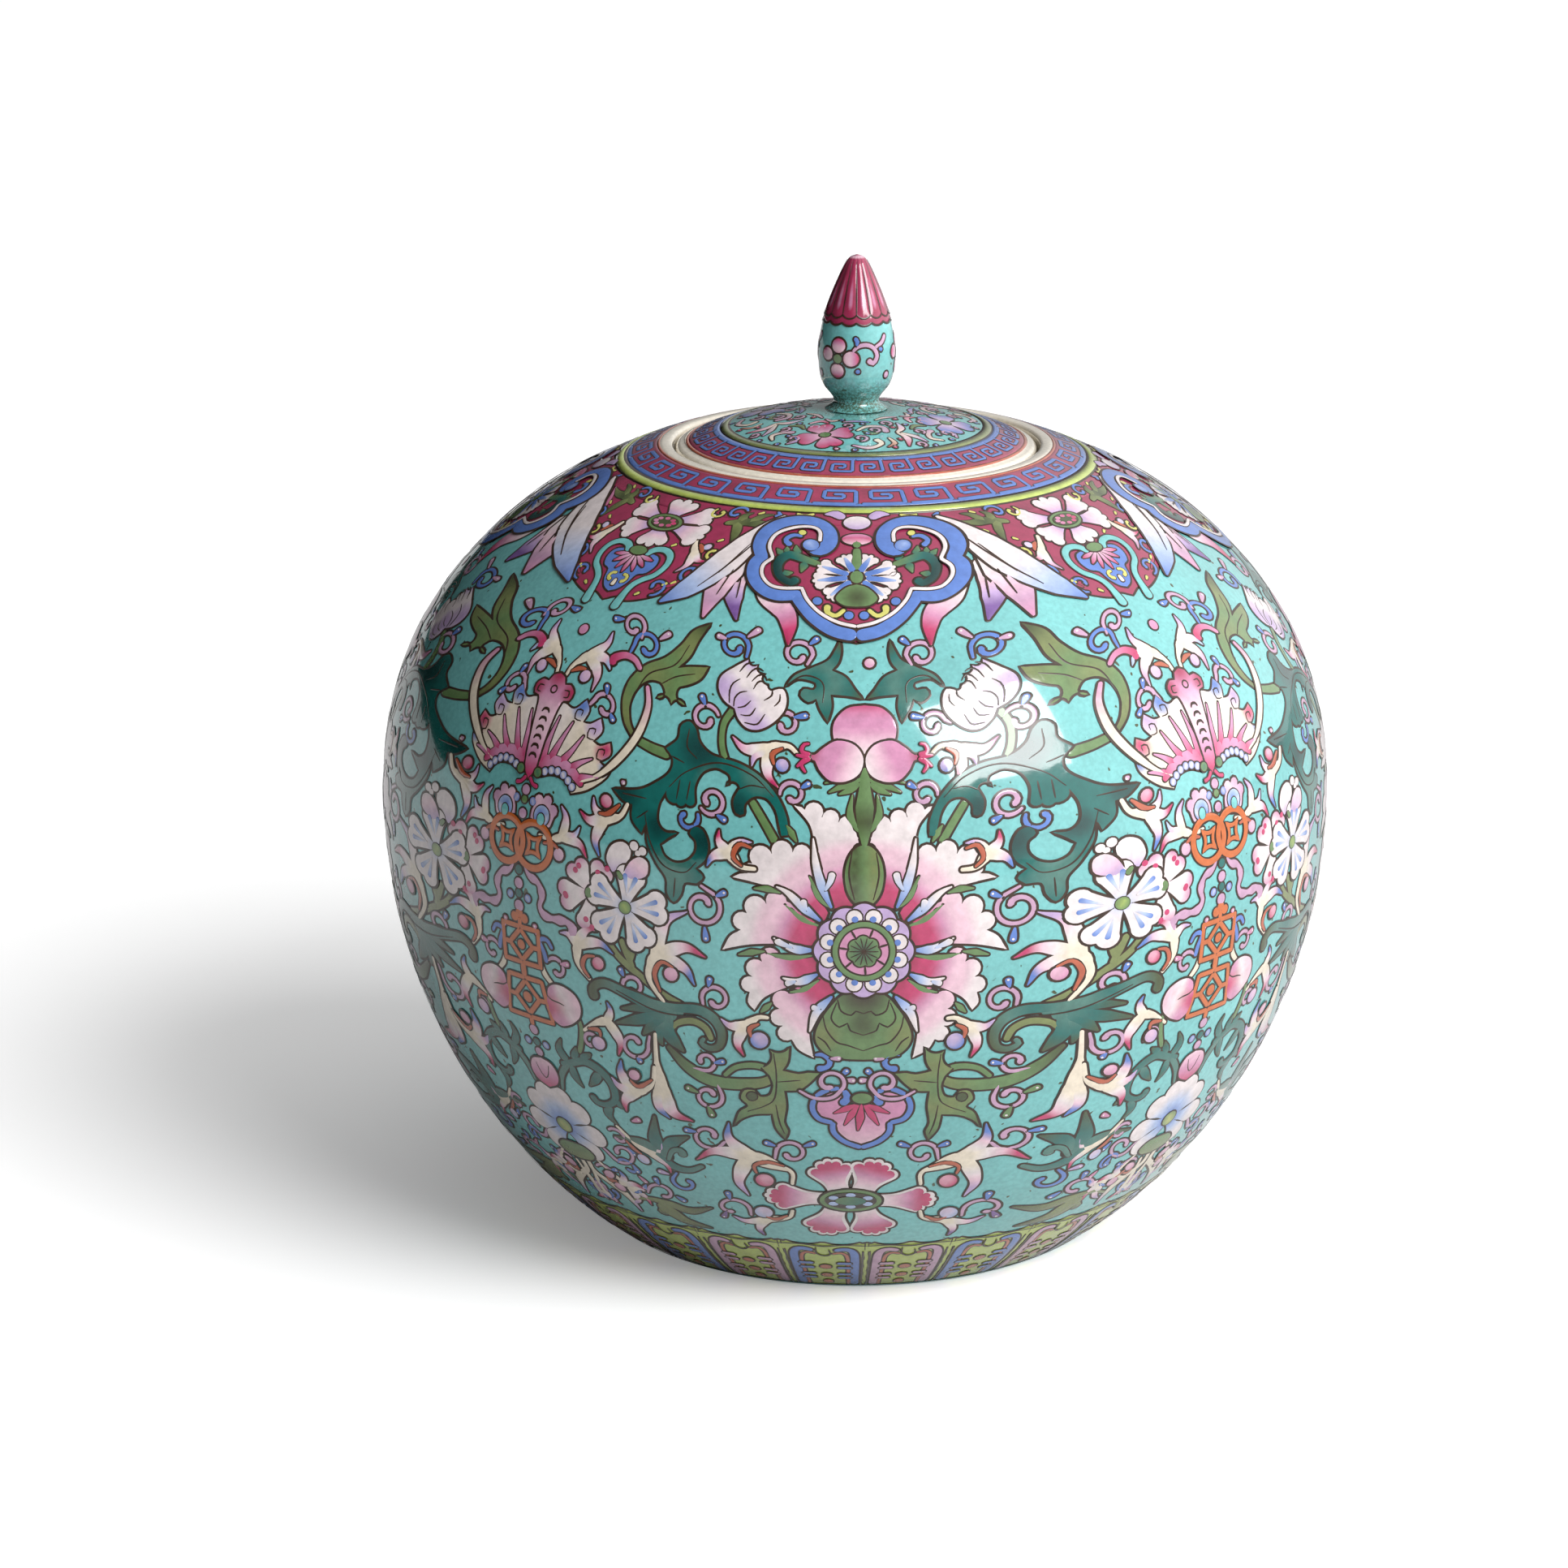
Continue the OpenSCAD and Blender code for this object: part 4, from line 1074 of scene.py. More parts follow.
def bat():
    """A bat seen from above, with the sprigs over its head and the beads and coins below."""
    d = Drawing()
    outline = smooth((0, 172.6), (1.8, 171.8), (2.6, 170.2), (4.2, 170.4), (5.9, 168.8), (5.4, 166.8),
                     (3.9, 166.5), (3.2, 164.9), (2.7, 161), (2.3, 157), (2, 153), (1.6, 150), (0, 147.6))
    d.shape(both_halves(outline), spots(
        fade((0, 168), (0, 149), "pink", "blush", "blush", "pink", "rose"), (0, 172.6, 4.4, "ruby"),
        (-5.6, 168.6, 3.6, "ruby"), (5.6, 168.6, 3.6, "ruby")), 6, grain=1.0)
    d.axis = 0
    wing = trace(
        [(1.6, 166.6), (4.4, 166.2), (7.6, 165.4), (10.1, 168)],
        [(11.8, 165.6), (11.2, 162.9)],
        [(13.2, 162.8), (15.6, 164.4)],
        [(17, 161.6), (15.4, 159.1)],
        [(17.6, 158.4), (20, 159.4)],
        [(20.9, 156.8), (18.6, 154.9)],
        [(20.4, 154), (22, 154.9)],
        [(21.4, 151.8), (17.4, 148.4), (13, 146.7)],
        [(11.4, 148.9), (8.8, 149.9), (6.2, 149.9), (3.6, 149), (1.6, 149)],
    )
    d.shape(wing, spots(
        fade((2, 158), (20, 156), "white", "cream", "cream"), (9.8, 166.4, 3.6, "blue"),
        (15.2, 162.6, 3.6, "lavender"),
        (19.4, 157.6, 3.4, "rose"), (21, 154, 2.6, "blue")), 2, line=0.5, grain=1.0)
    for x, s in ((9.6, 164.6), (14.6, 161), (18.6, 156.8)):
        d.pen((x + 1, s - 1.6), (x - 0.9, s - 1.3), (x - 1, s + 0.7), (x + 0.6, s + 0.8),
              (x + 0.6, s - 0.4), width=0.4, level=5)
    arm = [(1.4, 151.4), (5.4, 152.9), (9.4, 152.7), (12.6, 151.2), (15.6, 148.9)]
    d.stroke(arm, (3, 2.6, 2.2, 2.2, 1.2), ("rose", "pink", "pink", "rose"), 4, line=0.4)
    for rib in ([(3, 152), (3.4, 157), (4.4, 163)], [(5.2, 153), (6.8, 157.6), (8.6, 162.4)],
                [(8.4, 153), (10.6, 156), (12.6, 159.8)], [(11.4, 152.2), (14, 154), (16.6, 155.2)],
                [(14, 150.4), (16.6, 151), (19.4, 151.4)]):
        d.stroke(rib, (2, 1.1, 0.3), ("rose", "pink", "pink"), 4, line=0.45)
    for x, s in ((4.6, 150.2), (6.4, 150.8), (8.2, 150.9), (10, 150.4), (11.6, 149.4), (13, 148.2)):
        d.dot(x, s, 0.95, glow((x, s), 0, 1, "white", "white", "blue"), 6, line=0.3)
    d.dot(2.7, 149.6, 1.1, glow((2.7, 149.6), 0, 1.1, "teal", "green"), 9, line=0.35)
    d.stroke([(0.6, 148.2), (1.8, 146.8), (3.4, 146.4)], (0.9, 0.7, 1.0), "rose", 7, line=0.3)
    d.axis = None
    for i in range(6):
        s = 163.6 - 2.1 * i
        d.pen((-1.1, s - 0.5), (-0.6, s + 0.3), (0.6, s + 0.3), (1.1, s - 0.5), width=0.7, level=9)
    d.strip(d.line, ring(0, 168.6, 0.9), 0.4, "line", 9, closed=True)
    for side in (-1, 1):
        d.pen((side * 3.2, 168.9), (side * 4.6, 168.9), (side * 4.8, 167.5), (side * 3.6, 167.3), level=9)
    d.axis = 0
    d.sprig([(1.4, 172.2), (2.4, 175.4), (5.2, 178)],
            [(8.3, 184.8, "lavender"), (12.6, 175.8, "pale_blue"), (10.3, 170.2, "mauve")],
            (6.9, 173.2, 1.5, "lavender"), [(6.4, 174.8), (4.4, 174.7), (2.4, 173.6)], 1)
    petal = trace(
        [(2.4, 138.4), (2.6, 141.2), (3.4, 142.6)],
        [0.6, (5.6, 144.2), (8, 143.2)],
        [0.5, (9.4, 140.6)],
        [(8.2, 137.9), (5, 137.4), (2.4, 138.4)],
    )
    d.shape(petal, fade((2, 139), (9, 143), "mauve", "blush", "mauve"), 2)
    d.dot(5.8, 140.3, 2.3, glow((5.8, 139.4), 0.6, 2.6, "white", "blue", "pale_blue"), 4, ry=2.4, line=0.3)
    d.dot(5.7, 139.5, 1.1, "turquoise", 6, ry=1.4, line=0.25)
    d.sprig([(5.4, 136), (9, 135.6), (12, 136.6)],
            [(11, 143.6, "lavender"), (19.4, 133.2, "rose"), (16.8, 139.8, "pale_blue")],
            (11.8, 132.6, 1.5, "mauve"), [(11.6, 133.8), (9.6, 134.8), (7, 134.4)], 2, 2.2)
    coin = ring(4.2, 133.2, 5.2)
    d.strip(d.line, coin, 2.3, "line", 3, closed=True)
    d.strip(d.colour, coin, 1.6, "orange", 6, closed=True)
    corners = [(4.2 + 2.2 * a, 133.2 + 2.4 * b) for a, b in ((1, 1), (1, -1), (-1, -1), (-1, 1), (1, 1))]
    square = join(lobes(-0.2, *corners))
    d.strip(d.line, square, 1.5, "line", 4, closed=True)
    d.strip(d.colour, square, 0.9, "orange", 6, closed=True)
    ribbon = [(1.6, 128.4), (3, 126.2), (6, 124.8), (7.2, 122), (6.4, 119.4), (8, 117.5), (11.2, 117.3),
              (14.2, 117.3), (16, 115.8), (15, 114.2)]
    d.stroke(ribbon, (0.6, 0.9, 2.1, 1.1, 2.1, 1.1, 1.2, 2.2, 1.2, 2.4, 1.4, 2.6, 1.7), "mauve", 2)
    for x, s, r, ink in ((2.6, 143, 1.0, "blue"), (2.8, 120.5, 1.0, "blue"), (2.9, 83.4, 1.0, "blue")):
        d.dot(x, s, r, glow((x, s), 0, r, "white", ink), 2, line=0.4)
    d.axis = None
    for s, r, ink in ((184, 1.3, "pink"), (145.2, 1.2, "mauve"), (143, 0.9, "green"),
                      (139.8, 1.2, "mauve"), (126.8, 1.1, "teal"), (123.6, 1.3, "mauve"),
                      (121.2, 1.0, "teal"), (118.2, 1.4, "mauve"), (87, 1.3, "mauve"),
                      (83.6, 1.0, "teal"), (80.9, 1.2, "mauve")):
        d.dot(0, s, r, glow((r * 0.3, s + r * 0.3), 0, r, "blush", ink, ink), 3, line=0.38)
    return d


def tablet():
    """The orange lattice tablets that hang below the coins."""
    d = Drawing()
    for x, s in ((0, 116.4), (-1.5, 115.4), (1.5, 115.4)):
        d.dot(x, s, 1.2, "orange", 3, line=0.35)
    d.axis = 0
    bars = [
        [(0, 113.2), (5.6, 113.2)], [(0, 104.4), (5.6, 104.4)], [(5.6, 113.8), (5.6, 103.8)],
        [(0, 112.6), (3.6, 108.8)], [(3.6, 108.8), (0, 105)],
        [(0, 100.6), (5.4, 100.6)], [(5.2, 101), (7, 90.6)], [(0, 90.4), (7.4, 90.4)],
        [(0, 99.8), (3.8, 95.6)], [(3.8, 95.6), (0, 91.4)], [(3.6, 95.6), (6, 95.6)],
        [(3.4, 108.8), (5.4, 108.8)],
    ]
    for bar in bars:
        d.stroke(bar, 1.15, "orange", 3, line=0.35)
    d.axis = None
    d.dot(0, 108.8, 1.2, "orange", 3, line=0.35)
    d.dot(0, 95.6, 1.4, "orange", 3, line=0.35)
    for top, low, width in ((115.4, 113.4, 1.2), (104.2, 100.8, 1.6), (90.2, 88.2, 1.3)):
        d.stroke([(0, top), (0, low)], width, "orange", 3, line=0.4)
    return d


def pendant():
    """Peaches beside the tablets, and the bud, scrolls and small lotus below."""
    d = Drawing(axis=0)
    d.stroke([(14.4, 95), (15.2, 91.4), (14.4, 87.4), (13, 84)], (0.8, 1.2, 1.2), "green", 1)
    d.stroke([(8.8, 100.6), (6.6, 103), (5.8, 106)], (1, 1.4, 0.6), "cream", 1)
    peach = join(smooth((6.6, 97.6), (7, 99.6), (9, 101), (12, 101), (15, 99.4), (16.1, 96.6), (15.4, 94),
                        (13.6, 92.2), (11.6, 91), (9.4, 90.4), (7.2, 91.6), (5.9, 93.6), (5.6, 95.8)),
                 [(6.6, 97.6)])
    d.shape(peach, spots(fade((6, 95), (15, 97), "blush", "white", "blush"), (6.2, 94.6, 6, "rose"),
                         (10, 90.6, 4, "pink"), (7.6, 99.6, 2.6, "pink")), 3, grain=1.2)
    d.pen((6.6, 97.6), (7.8, 96.8), (10, 96.5), (11.4, 96.1), width=0.5, level=5)
    d.stroke([(9.6, 109.8), (8.2, 111.7), (5.8, 111.2), (7, 108.4), (7.6, 106)], (0.8, 1.2, 1.2), "blue", 2)
    d.curl((7.8, 106.4), (10.2, 105.2), -0.85, level=1)
    d.bud(5, 112.2, -0.4, 2.6, "pink", 2)
    d.bud(11.6, 106.6, 2.6, 0.4, "pink", 2)
    scroll = [(6.4, 79.4), (10, 80.6), (14, 82), (18, 80.4), (20.4, 77), (20, 72.6), (17, 70.4),
              (14.2, 70.6), (13.4, 72.4)]
    d.stroke(scroll, (1.2, 1.8, 2, 2.2, 2.2, 2.0, 1.6, 1.4, 2.0),
             glow((12, 77), 0, 10, "grey_teal", "teal"), 3)
    d.stroke([(4.4, 71.4), (5.6, 76), (8.6, 80)], (0.6, 1.6, 1.6), "grey_teal", 3)
    for path in ([(9, 80), (7, 83.6), (8.2, 86.6)], [(11, 81.4), (12.4, 85.4)], [(13, 82), (16.4, 84.6)],
                 [(9.4, 80), (10, 76.4), (11.4, 74)], [(17.6, 79.4), (15.4, 76.8), (13.6, 75)],
                 [(19.8, 77), (22.8, 76.4), (25, 73.8)], [(19.4, 72.6), (22.6, 70.2)],
                 [(17.8, 70.6), (16.4, 67.4), (18, 64.6)]):
        d.stroke(path, (2.2, 2.2, 0.3), ("grey_teal", "teal", "moss"), 2, line=0.4)
    d.axis = None
    bud = smooth((0, 79.4), (-3, 78.4), (-4.3, 75.6), (-3.3, 72.6), (0, 70.8))
    d.shape(both_halves(bud), fade((0, 79), (0, 71), "blush", "pink", "rose"), 5)
    d.pen((-2, 77.6), (-1.2, 75), (0, 73.6), (1.2, 75), (2, 77.6), level=7)
    for sign in (-1, 1):
        for tip in ((3.2, 71.2), (8.8, 66.6), (11.8, 58), (7.4, 50.4)):
            end = (sign * tip[0], tip[1])
            start = between((0, 59), end, 0.15)
            d.petal(start, end, 6.4, 1, fade(start, end, "blue", "pale_blue", "white", "white"), 2,
                    line=0.4, neck=0.2, depth=0.7)
    d.shape(both_halves(smooth((0, 53.4), (-3.6, 53), (-5.6, 50.8), (-4, 48.6), (0, 47.8))),
            fade((0, 53), (0, 48), "green", "olive"), 5)
    d.dot(0, 59.2, 2.2, glow((0, 59), 0, 2.4, "gold", "green"), 5, line=0.35)
    d.axis = 0
    for root, centre, turns, ink in (((4, 46.4), (6.6, 45), -0.9, "mauve"),
                                     ((14.4, 62), (16.4, 60.6), -0.9, "mauve"),
                                     ((12.6, 50.6), (15.2, 50), -0.9, "blue"),
                                     ((19.4, 87), (17.4, 88.2), 1, "mauve")):
        d.curl(root, centre, turns, ink)
    d.sprig([(5.6, 49.4), (9, 44.6), (11.6, 42)],
            [(17.8, 44.6, "blue"), (15, 35.6, "rose"), (9, 34, "lavender")], (8.4, 40.4, 1.6, "pink"),
            [(8.6, 42), (7, 43), (5.4, 45)], 1)
    d.sprig([(17.4, 64.4), (21, 59.4), (24, 57.6)], [(28.6, 61.4, "lavender"), (27.4, 51.4, "rose")],
            (21.4, 54.6, 1.6, "pale_blue"), [(21.6, 56.2), (20, 57.6), (18.6, 60)], 1)
    d.sprig([(2.4, 46.8), (1.4, 41), (0.8, 37)], [(3.8, 31.4, "rose")], None, None, 1, 2.4)
    for x, s, dx, ds, ink in ((18, 57.4, 1.6, -2.4, "blue"), (8.6, 46.6, 2.4, 1, "blue"),
                              (22.6, 66.8, 2.6, 1.2, "pink"), (17, 47.4, 1.4, -2.2, "pink")):
        d.bud(x, s, dx, ds, ink, 1)
    return d


# ---------------------------------------------------------------- bands


def foot_lappets():
    """The band of upright lappets above the foot, alternating blue and pink."""
    count, pitch = 26, 20.1
    d = Drawing()
    for i in range(count):
        x = (i - count // 2) * pitch
        ink = ("blue", "mauve")[i % 2]
        half = join(
            smooth((x, 1.2), (x - pitch / 2 - 0.4, 1.2)),
            smooth((x - pitch / 2 - 0.4, 1.2), (x - pitch / 2 - 0.4, 29)),
            lobes(-0.3, (x - pitch / 2, 29), (x - 8.4, 29)),
            lobes(-0.16, (x - 8.4, 29), (x, 29)),
        )
        d.axis = None
        d.shape(both_halves(half[:-1], x), "yellow", 0, line=0.6, grain=3)
        d.axis = x
        frame = smooth((x - 7.4, 2), (x - 7.4, 10), (x - 7.4, 18), (x - 7.2, 23), (x - 6.2, 25.2),
                       (x - 4.4, 25.6), (x - 2.6, 24.8))
        d.stroke(frame, (2.3, 2.2, 2.1, 2.0, 1.3), ink, 3, line=0.5)
        edge = smooth((x - 5.8, 2), (x - 5.8, 12), (x - 5.6, 21), (x - 4.2, 23.6), (x - 2, 23))
        d.stroke(edge, (1.1, 1.1, 0.7), "rust", 2, line=0.4)
        for s in (17.6, 14.8, 10.4, 7.6):
            d.stroke([(x - 6.6, s), (x - 4.6, s), (x - 3, s)], (1.3, 1.1, 1.5), ink, 5, line=0.4)
        d.stroke([(x - pitch / 2 + 0.8, 1.5), (x - pitch / 2 + 0.8, 24.6)], 0.35, "line", 3, line=0.1)
        d.axis = None
        for s in (15.5, 9.7):
            d.dot(x, s, 1.5, "rust", 5, ry=1.3, line=0.35)
        d.stroke([(x, 6), (x, 3)], (2.4, 3.2), "rust", 5, line=0.35)
        d.pen((x - 1.8, 26.4), (x - 1.7, 23.4), (x, 22), (x + 1.5, 23), (x + 1.2, 25.4), width=0.6, level=6)
        d.pen((x - pitch / 2, 27.6), (x - 5, 28), (x, 27.2), (x + 5, 28), (x + pitch / 2, 27.6),
              width=0.55, level=6)
        d.stroke([(x - pitch / 2, 0.9), (x + pitch / 2, 0.9)], 0.9, "turquoise", 4, line=0.25)
    return d


def fret(count, pitch, foot, height, width):
    """A running key fret: count blue keys side by side, standing on a line of the chart."""
    d = Drawing()
    key = np.array([(0.0, 0.03), (0.88, 0.03), (0.88, 0.94), (0.2, 0.94), (0.2, 0.4), (0.62, 0.4),
                    (0.62, 0.68), (0.4, 0.68)])
    for i in range(count):
        points = np.stack([(i - count / 2 + key[:, 0]) * pitch, foot + key[:, 1] * height], -1)
        for a, b in zip(points, points[1:]):
            d.stroke([a, b], width, "blue", 3, line=0.22)
    return d


# ---------------------------------------------------------------- lid and finial


def lid_sprays():
    """Four flowers with scrolls between them, on a chart that is the lid's own plan.

    Places are given as a radius and an angle from the flower's own axis, in radians."""
    d = Drawing()
    for i in range(4):
        turn = math.radians(90 * i - 19)

        def at(r, a):
            return (r * math.sin(turn + a), -r * math.cos(turn + a))

        inks = ("blush", "pink", "rose") if i % 2 == 0 else ("white", "lavender", "blue")
        heart = np.array(at(22.4, 0))
        for k in range(4):
            tip = heart + 6.2 * spoke(turn + (k + 0.35) * math.pi / 2)
            d.petal(heart, tip, 5.6, 2, fade(heart, tip, *inks), 2, line=0.4, neck=0.12, depth=0.5)
        d.dot(*heart, 1.3, "green", 5, line=0.3)
        for path, widths, inks in (
            ([(19, 0.34), (16.4, 0.5), (17.4, 0.7), (20.6, 0.68)], (0.6, 1.1, 1.1, 1.7),
             ("cream", "mauve")),
            ([(27, 0.3), (28.4, 0.44), (26.4, 0.56), (24, 0.52)], (0.6, 1.1, 1.0, 1.6), ("mauve", "cream")),
            ([(21.2, 0.8), (24.6, 0.84), (28.6, 0.78)], (0.6, 1.7, 0.3), ("cream", "blush", "rose")),
            ([(21.2, 0.8), (19.2, 0.92), (15.8, 0.98)], (0.6, 1.5, 0.3), ("cream", "blush", "pale_blue")),
            ([(21.6, 0.84), (24.6, 0.94), (27.6, 0.98)], (0.6, 1.5, 0.3), ("cream", "lavender")),
            ([(28.4, 1.14), (26.4, 1.06), (23.8, 1.12), (23, 1.22)], (0.5, 1.1, 1.1, 1.6),
             ("cream", "mauve")),
            ([(17, 1.2), (14.4, 1.3), (15.2, 1.46)], (0.5, 1.2, 0.3), ("blush", "rose")),
            ([(13.6, 0.1), (12.8, 0.34), (13.8, 0.56)], (0.4, 1.1, 0.3), ("mauve", "blue")),
            ([(12.4, 0.7), (11.4, 0.95), (12.4, 1.2)], (0.3, 1.0, 0.3), ("cream", "mauve")),
            ([(20.4, 1.02), (19, 1.14), (20.4, 1.26)], (0.4, 1.2, 0.3), ("green", "olive")),
            ([(23.6, 0.66), (26.6, 0.68), (28.2, 0.6)], (0.4, 1.1, 0.3), ("cream", "rust")),
            ([(12.6, 1.3), (13.6, 1.46), (12, 1.62)], (0.3, 1.0, 0.3), ("mauve", "cream")),
            ([(19.4, 0.42), (21, 0.52), (19.8, 0.62)], (0.4, 1.1, 0.3), ("green", "olive")),
            ([(28.8, 1.3), (26.6, 1.36), (25.2, 1.3)], (0.4, 1.2, 0.4), ("mauve", "blue")),
        ):
            d.stroke([at(*p) for p in path], widths, inks, 1, line=0.4)
        for r, a, size in ((23.4, 0.38, 1.6), (18.8, 0.56, 1.4), (26, 1.3, 1.6), (18.6, 1.34, 1.5),
                           (15.2, 0.8, 1.5), (28.4, 0.9, 1.2), (15.8, 0.2, 1.3), (22.4, 1.06, 1.3)):
            d.curl(at(r + size, a), at(r, a), 0.95, "mauve", level=2, width=0.6)
        for r, a, ink in ((29.2, 0.34, "blue"), (29, 0.66, "rose"), (29.4, 1.02, "blue"),
                          (29.2, 1.24, "blue"), (14.2, 0.42, "blue"), (21, 0.48, "blue"),
                          (18, 0.8, "rose"), (17.6, 1.08, "blue"), (13.6, 1.04, "rose"),
                          (16.8, 1.46, "pink"), (25.4, 0.76, "rose"), (12.6, 0.02, "blue"),
                          (28.6, 0.16, "pink"), (17.8, 0.24, "blue"), (25, 1.2, "blue")):
            x, y = at(r, a)
            d.bud(x, y, 1.0 * math.cos(7 * r), 1.0 * math.sin(7 * r), ink, 2, 1.1)
    return d


CAP_PETALS = 14
CAP_LOW = 21.2         # height of the cap's lower edge above the finial's foot
CAP_BORDER = 1.6       # height of the plain border under the petals
CAP_TOP = 35.4         # where the lines between the petals end, just below the tip


def cap_lines():
    """Dark lines between the cap's petals, along their round ends and along the border's wavy edge."""
    d = Drawing()
    pitch = 2 * math.pi * FINIAL_R / CAP_PETALS
    border, foot = CAP_LOW + 0.5, CAP_LOW + CAP_BORDER
    for i in range(CAP_PETALS):
        x = i * pitch
        d.pen((x, foot + 0.7), (x, foot + 7), (x, CAP_TOP), width=0.42, level=5)
        d.strip(d.line, lobes(-0.2, (x, foot + 0.7), (x + pitch, foot + 0.7)), 0.4, "line", 5)
        d.strip(d.line, lobes(-0.16, (x, border), (x + pitch, border)), 0.5, "line", 4)
    return d


def bulb_flowers():
    """Three flowers with tendrils round the finial's bulb; s is the height above the finial's foot."""
    d = Drawing()
    for i in range(3):
        x, y = i * 2 * math.pi * FINIAL_R / 3 - 4.6, 13.3
        for dx, ds, r in ((0.1, 3.1, 1.8), (3.3, 0.1, 1.9), (-0.2, -2.9, 1.75), (-3, 0.9, 1.6)):
            mark = fade((x + 0.3 * dx, y + 0.3 * ds), (x + 1.5 * dx, y + 1.5 * ds),
                        "rose", "blush", "blush", "pink", "rose")
            d.shape(ring(x + dx, y + ds, r, r * 0.95), mark, 2, line=0.5, grain=0.5)
        d.dot(x, y, 1.1, "green", 4, line=0.3)
        for path, widths, paint, level in (
            ([(3.7, 1.8), (5, 3.1), (7, 3.4), (8.9, 2.5), (9.7, 0.5), (8.6, -1), (7.3, -0.1)],
             (0.6, 0.9, 0.9, 0.9, 1.0, 1.3), "mauve", 2),
            ([(9.2, 2.7), (11.2, 3.7), (12.5, 5.4)], (0.8, 0.9, 0.9), "mauve", 2),
            ([(4.6, 3.2), (4.8, 4.4), (4, 5)], (0.5, 1.1, 0.8), "blue", 3),
            ([(10.2, 2.4), (11.2, 2)], (0.6, 1.2), "blue", 3),
            ([(4.4, -3), (5.4, -2.8)], (0.7, 1.3), "blue", 3),
        ):
            d.stroke([(x + u, y + v) for u, v in path], widths, paint, level, line=0.4)
        d.dot(x + 12.8, y - 4.2, 0.8, "mauve", 2, line=0.4)
    return d


# ---------------------------------------------------------------- laying charts onto surfaces

SECTOR = math.radians(41)    # half-width of the quarter that the motifs are drawn for
SPREAD_START = 0.35          # share of that half-width from which the motifs are spread apart
SPREAD_LENGTH = 0.45         # share of it over which the spread grows to its full angle
HALF_AXIS = 1.0              # the half motifs repeat on the other side of this x


def wrapped(skin, axis=0.0, reference=0.0, mirror=False, spread=(0.0, 0.0)):
    """Lays a chart round a turned skin. spread widens the outer part of each side, in radians."""
    def place(points):
        x, s, height = points.T
        if mirror:
            x = 2 * HALF_AXIS - x
        angle = x / (reference or skin.radius(s))
        share = np.clip((np.abs(angle) / SECTOR - SPREAD_START) / SPREAD_LENGTH, 0, 1)
        extra = np.where(angle < 0, -spread[0], spread[1])
        return skin.point(angle + axis + extra * share**2 * (3 - 2 * share), s, height)
    return place


def laid_on_top(skin):
    """Lays a plan chart onto a dome."""
    def place(points):
        x, y, height = points.T
        s = np.interp(np.hypot(x, y), skin.r[::-1], skin.s[::-1])
        return skin.point(np.arctan2(x, -y), s, height)
    return place


def mesh_piece(name, points, faces, colours, body, material):
    """A mesh object from millimetres, with its own colours if it has any."""
    mesh = bpy.data.meshes.new(name)
    mesh.from_pydata((points * MM).tolist(), [], faces)
    mesh.polygons.foreach_set("use_smooth", [True] * len(mesh.polygons))
    if colours is not None:
        paint = mesh.color_attributes.new("paint", "FLOAT_COLOR", "POINT")
        rgba = np.hstack([colours, np.ones((len(colours), 1))])
        paint.data.foreach_set("color", rgba.astype(np.float32).ravel())
    mesh.materials.append(material)
    piece = bpy.data.objects.new(name, mesh)
    bpy.context.scene.collection.objects.link(piece)
    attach(piece, body)
    return piece


def enamel_piece(name, body, *laid):
    """Two pieces, the colours and the dark outlines, from drawings and the places they are laid.

    Each entry of laid is a drawing, its place, and whether the place mirrors it."""
    for part, material in (("colour", ENAMEL), ("line", OUTLINE)):
        points, colours, faces, count = [], [], [], 0
        for drawing, place, flipped in laid:
            sheet = getattr(drawing, part)
            if not sheet.count:
                continue
            points.append(place(np.vstack(sheet.points)))
            colours.append(np.vstack(sheet.colours))
            order = -1 if flipped else 1
            faces += [[i + count for i in face[::order]] for face in sheet.faces]
            count += sheet.count
        if count:
            own_colours = np.vstack(colours) if part == "colour" else None
            mesh_piece(f"{name}_{part}", np.vstack(points), faces, own_colours, body,
                       material)


def turned(name, outline, body, material, segments=SEGMENTS):
    """A surface turned round the axis from an outline of (r, z) points, open or closing on the axis."""
    r, z = np.array(outline, float).T
    angle = np.arange(segments) * 2 * math.pi / segments
    across, height = r[:, None], np.broadcast_to(z[:, None], (len(z), segments))
    points = np.stack([across * np.sin(angle), -across * np.cos(angle), height], -1).reshape(-1, 3)
    faces = []
    for i in range(len(r) - 1):
        a, b = i * segments, (i + 1) * segments
        for j in range(segments):
            k = (j + 1) % segments
            if r[i] == 0:
                faces.append([a + j, b + k, b + j])
            elif r[i + 1] == 0:
                faces.append([a + j, a + k, b + j])
            else:
                faces.append([a + j, a + k, b + k, b + j])
    return mesh_piece(name, points, faces, None, body, material)


# ---------------------------------------------------------------- materials

BLACK, WHITE = (0, 0, 0), (1, 1, 1)
LEAD_GLASS_IOR = 1.75


def grey(value):
    """A neutral colour."""
    return (value, value, value)


def tone(name, k=1.0):
    """A palette colour in linear RGB, made k times as bright."""
    return tuple(linear(name) * k)


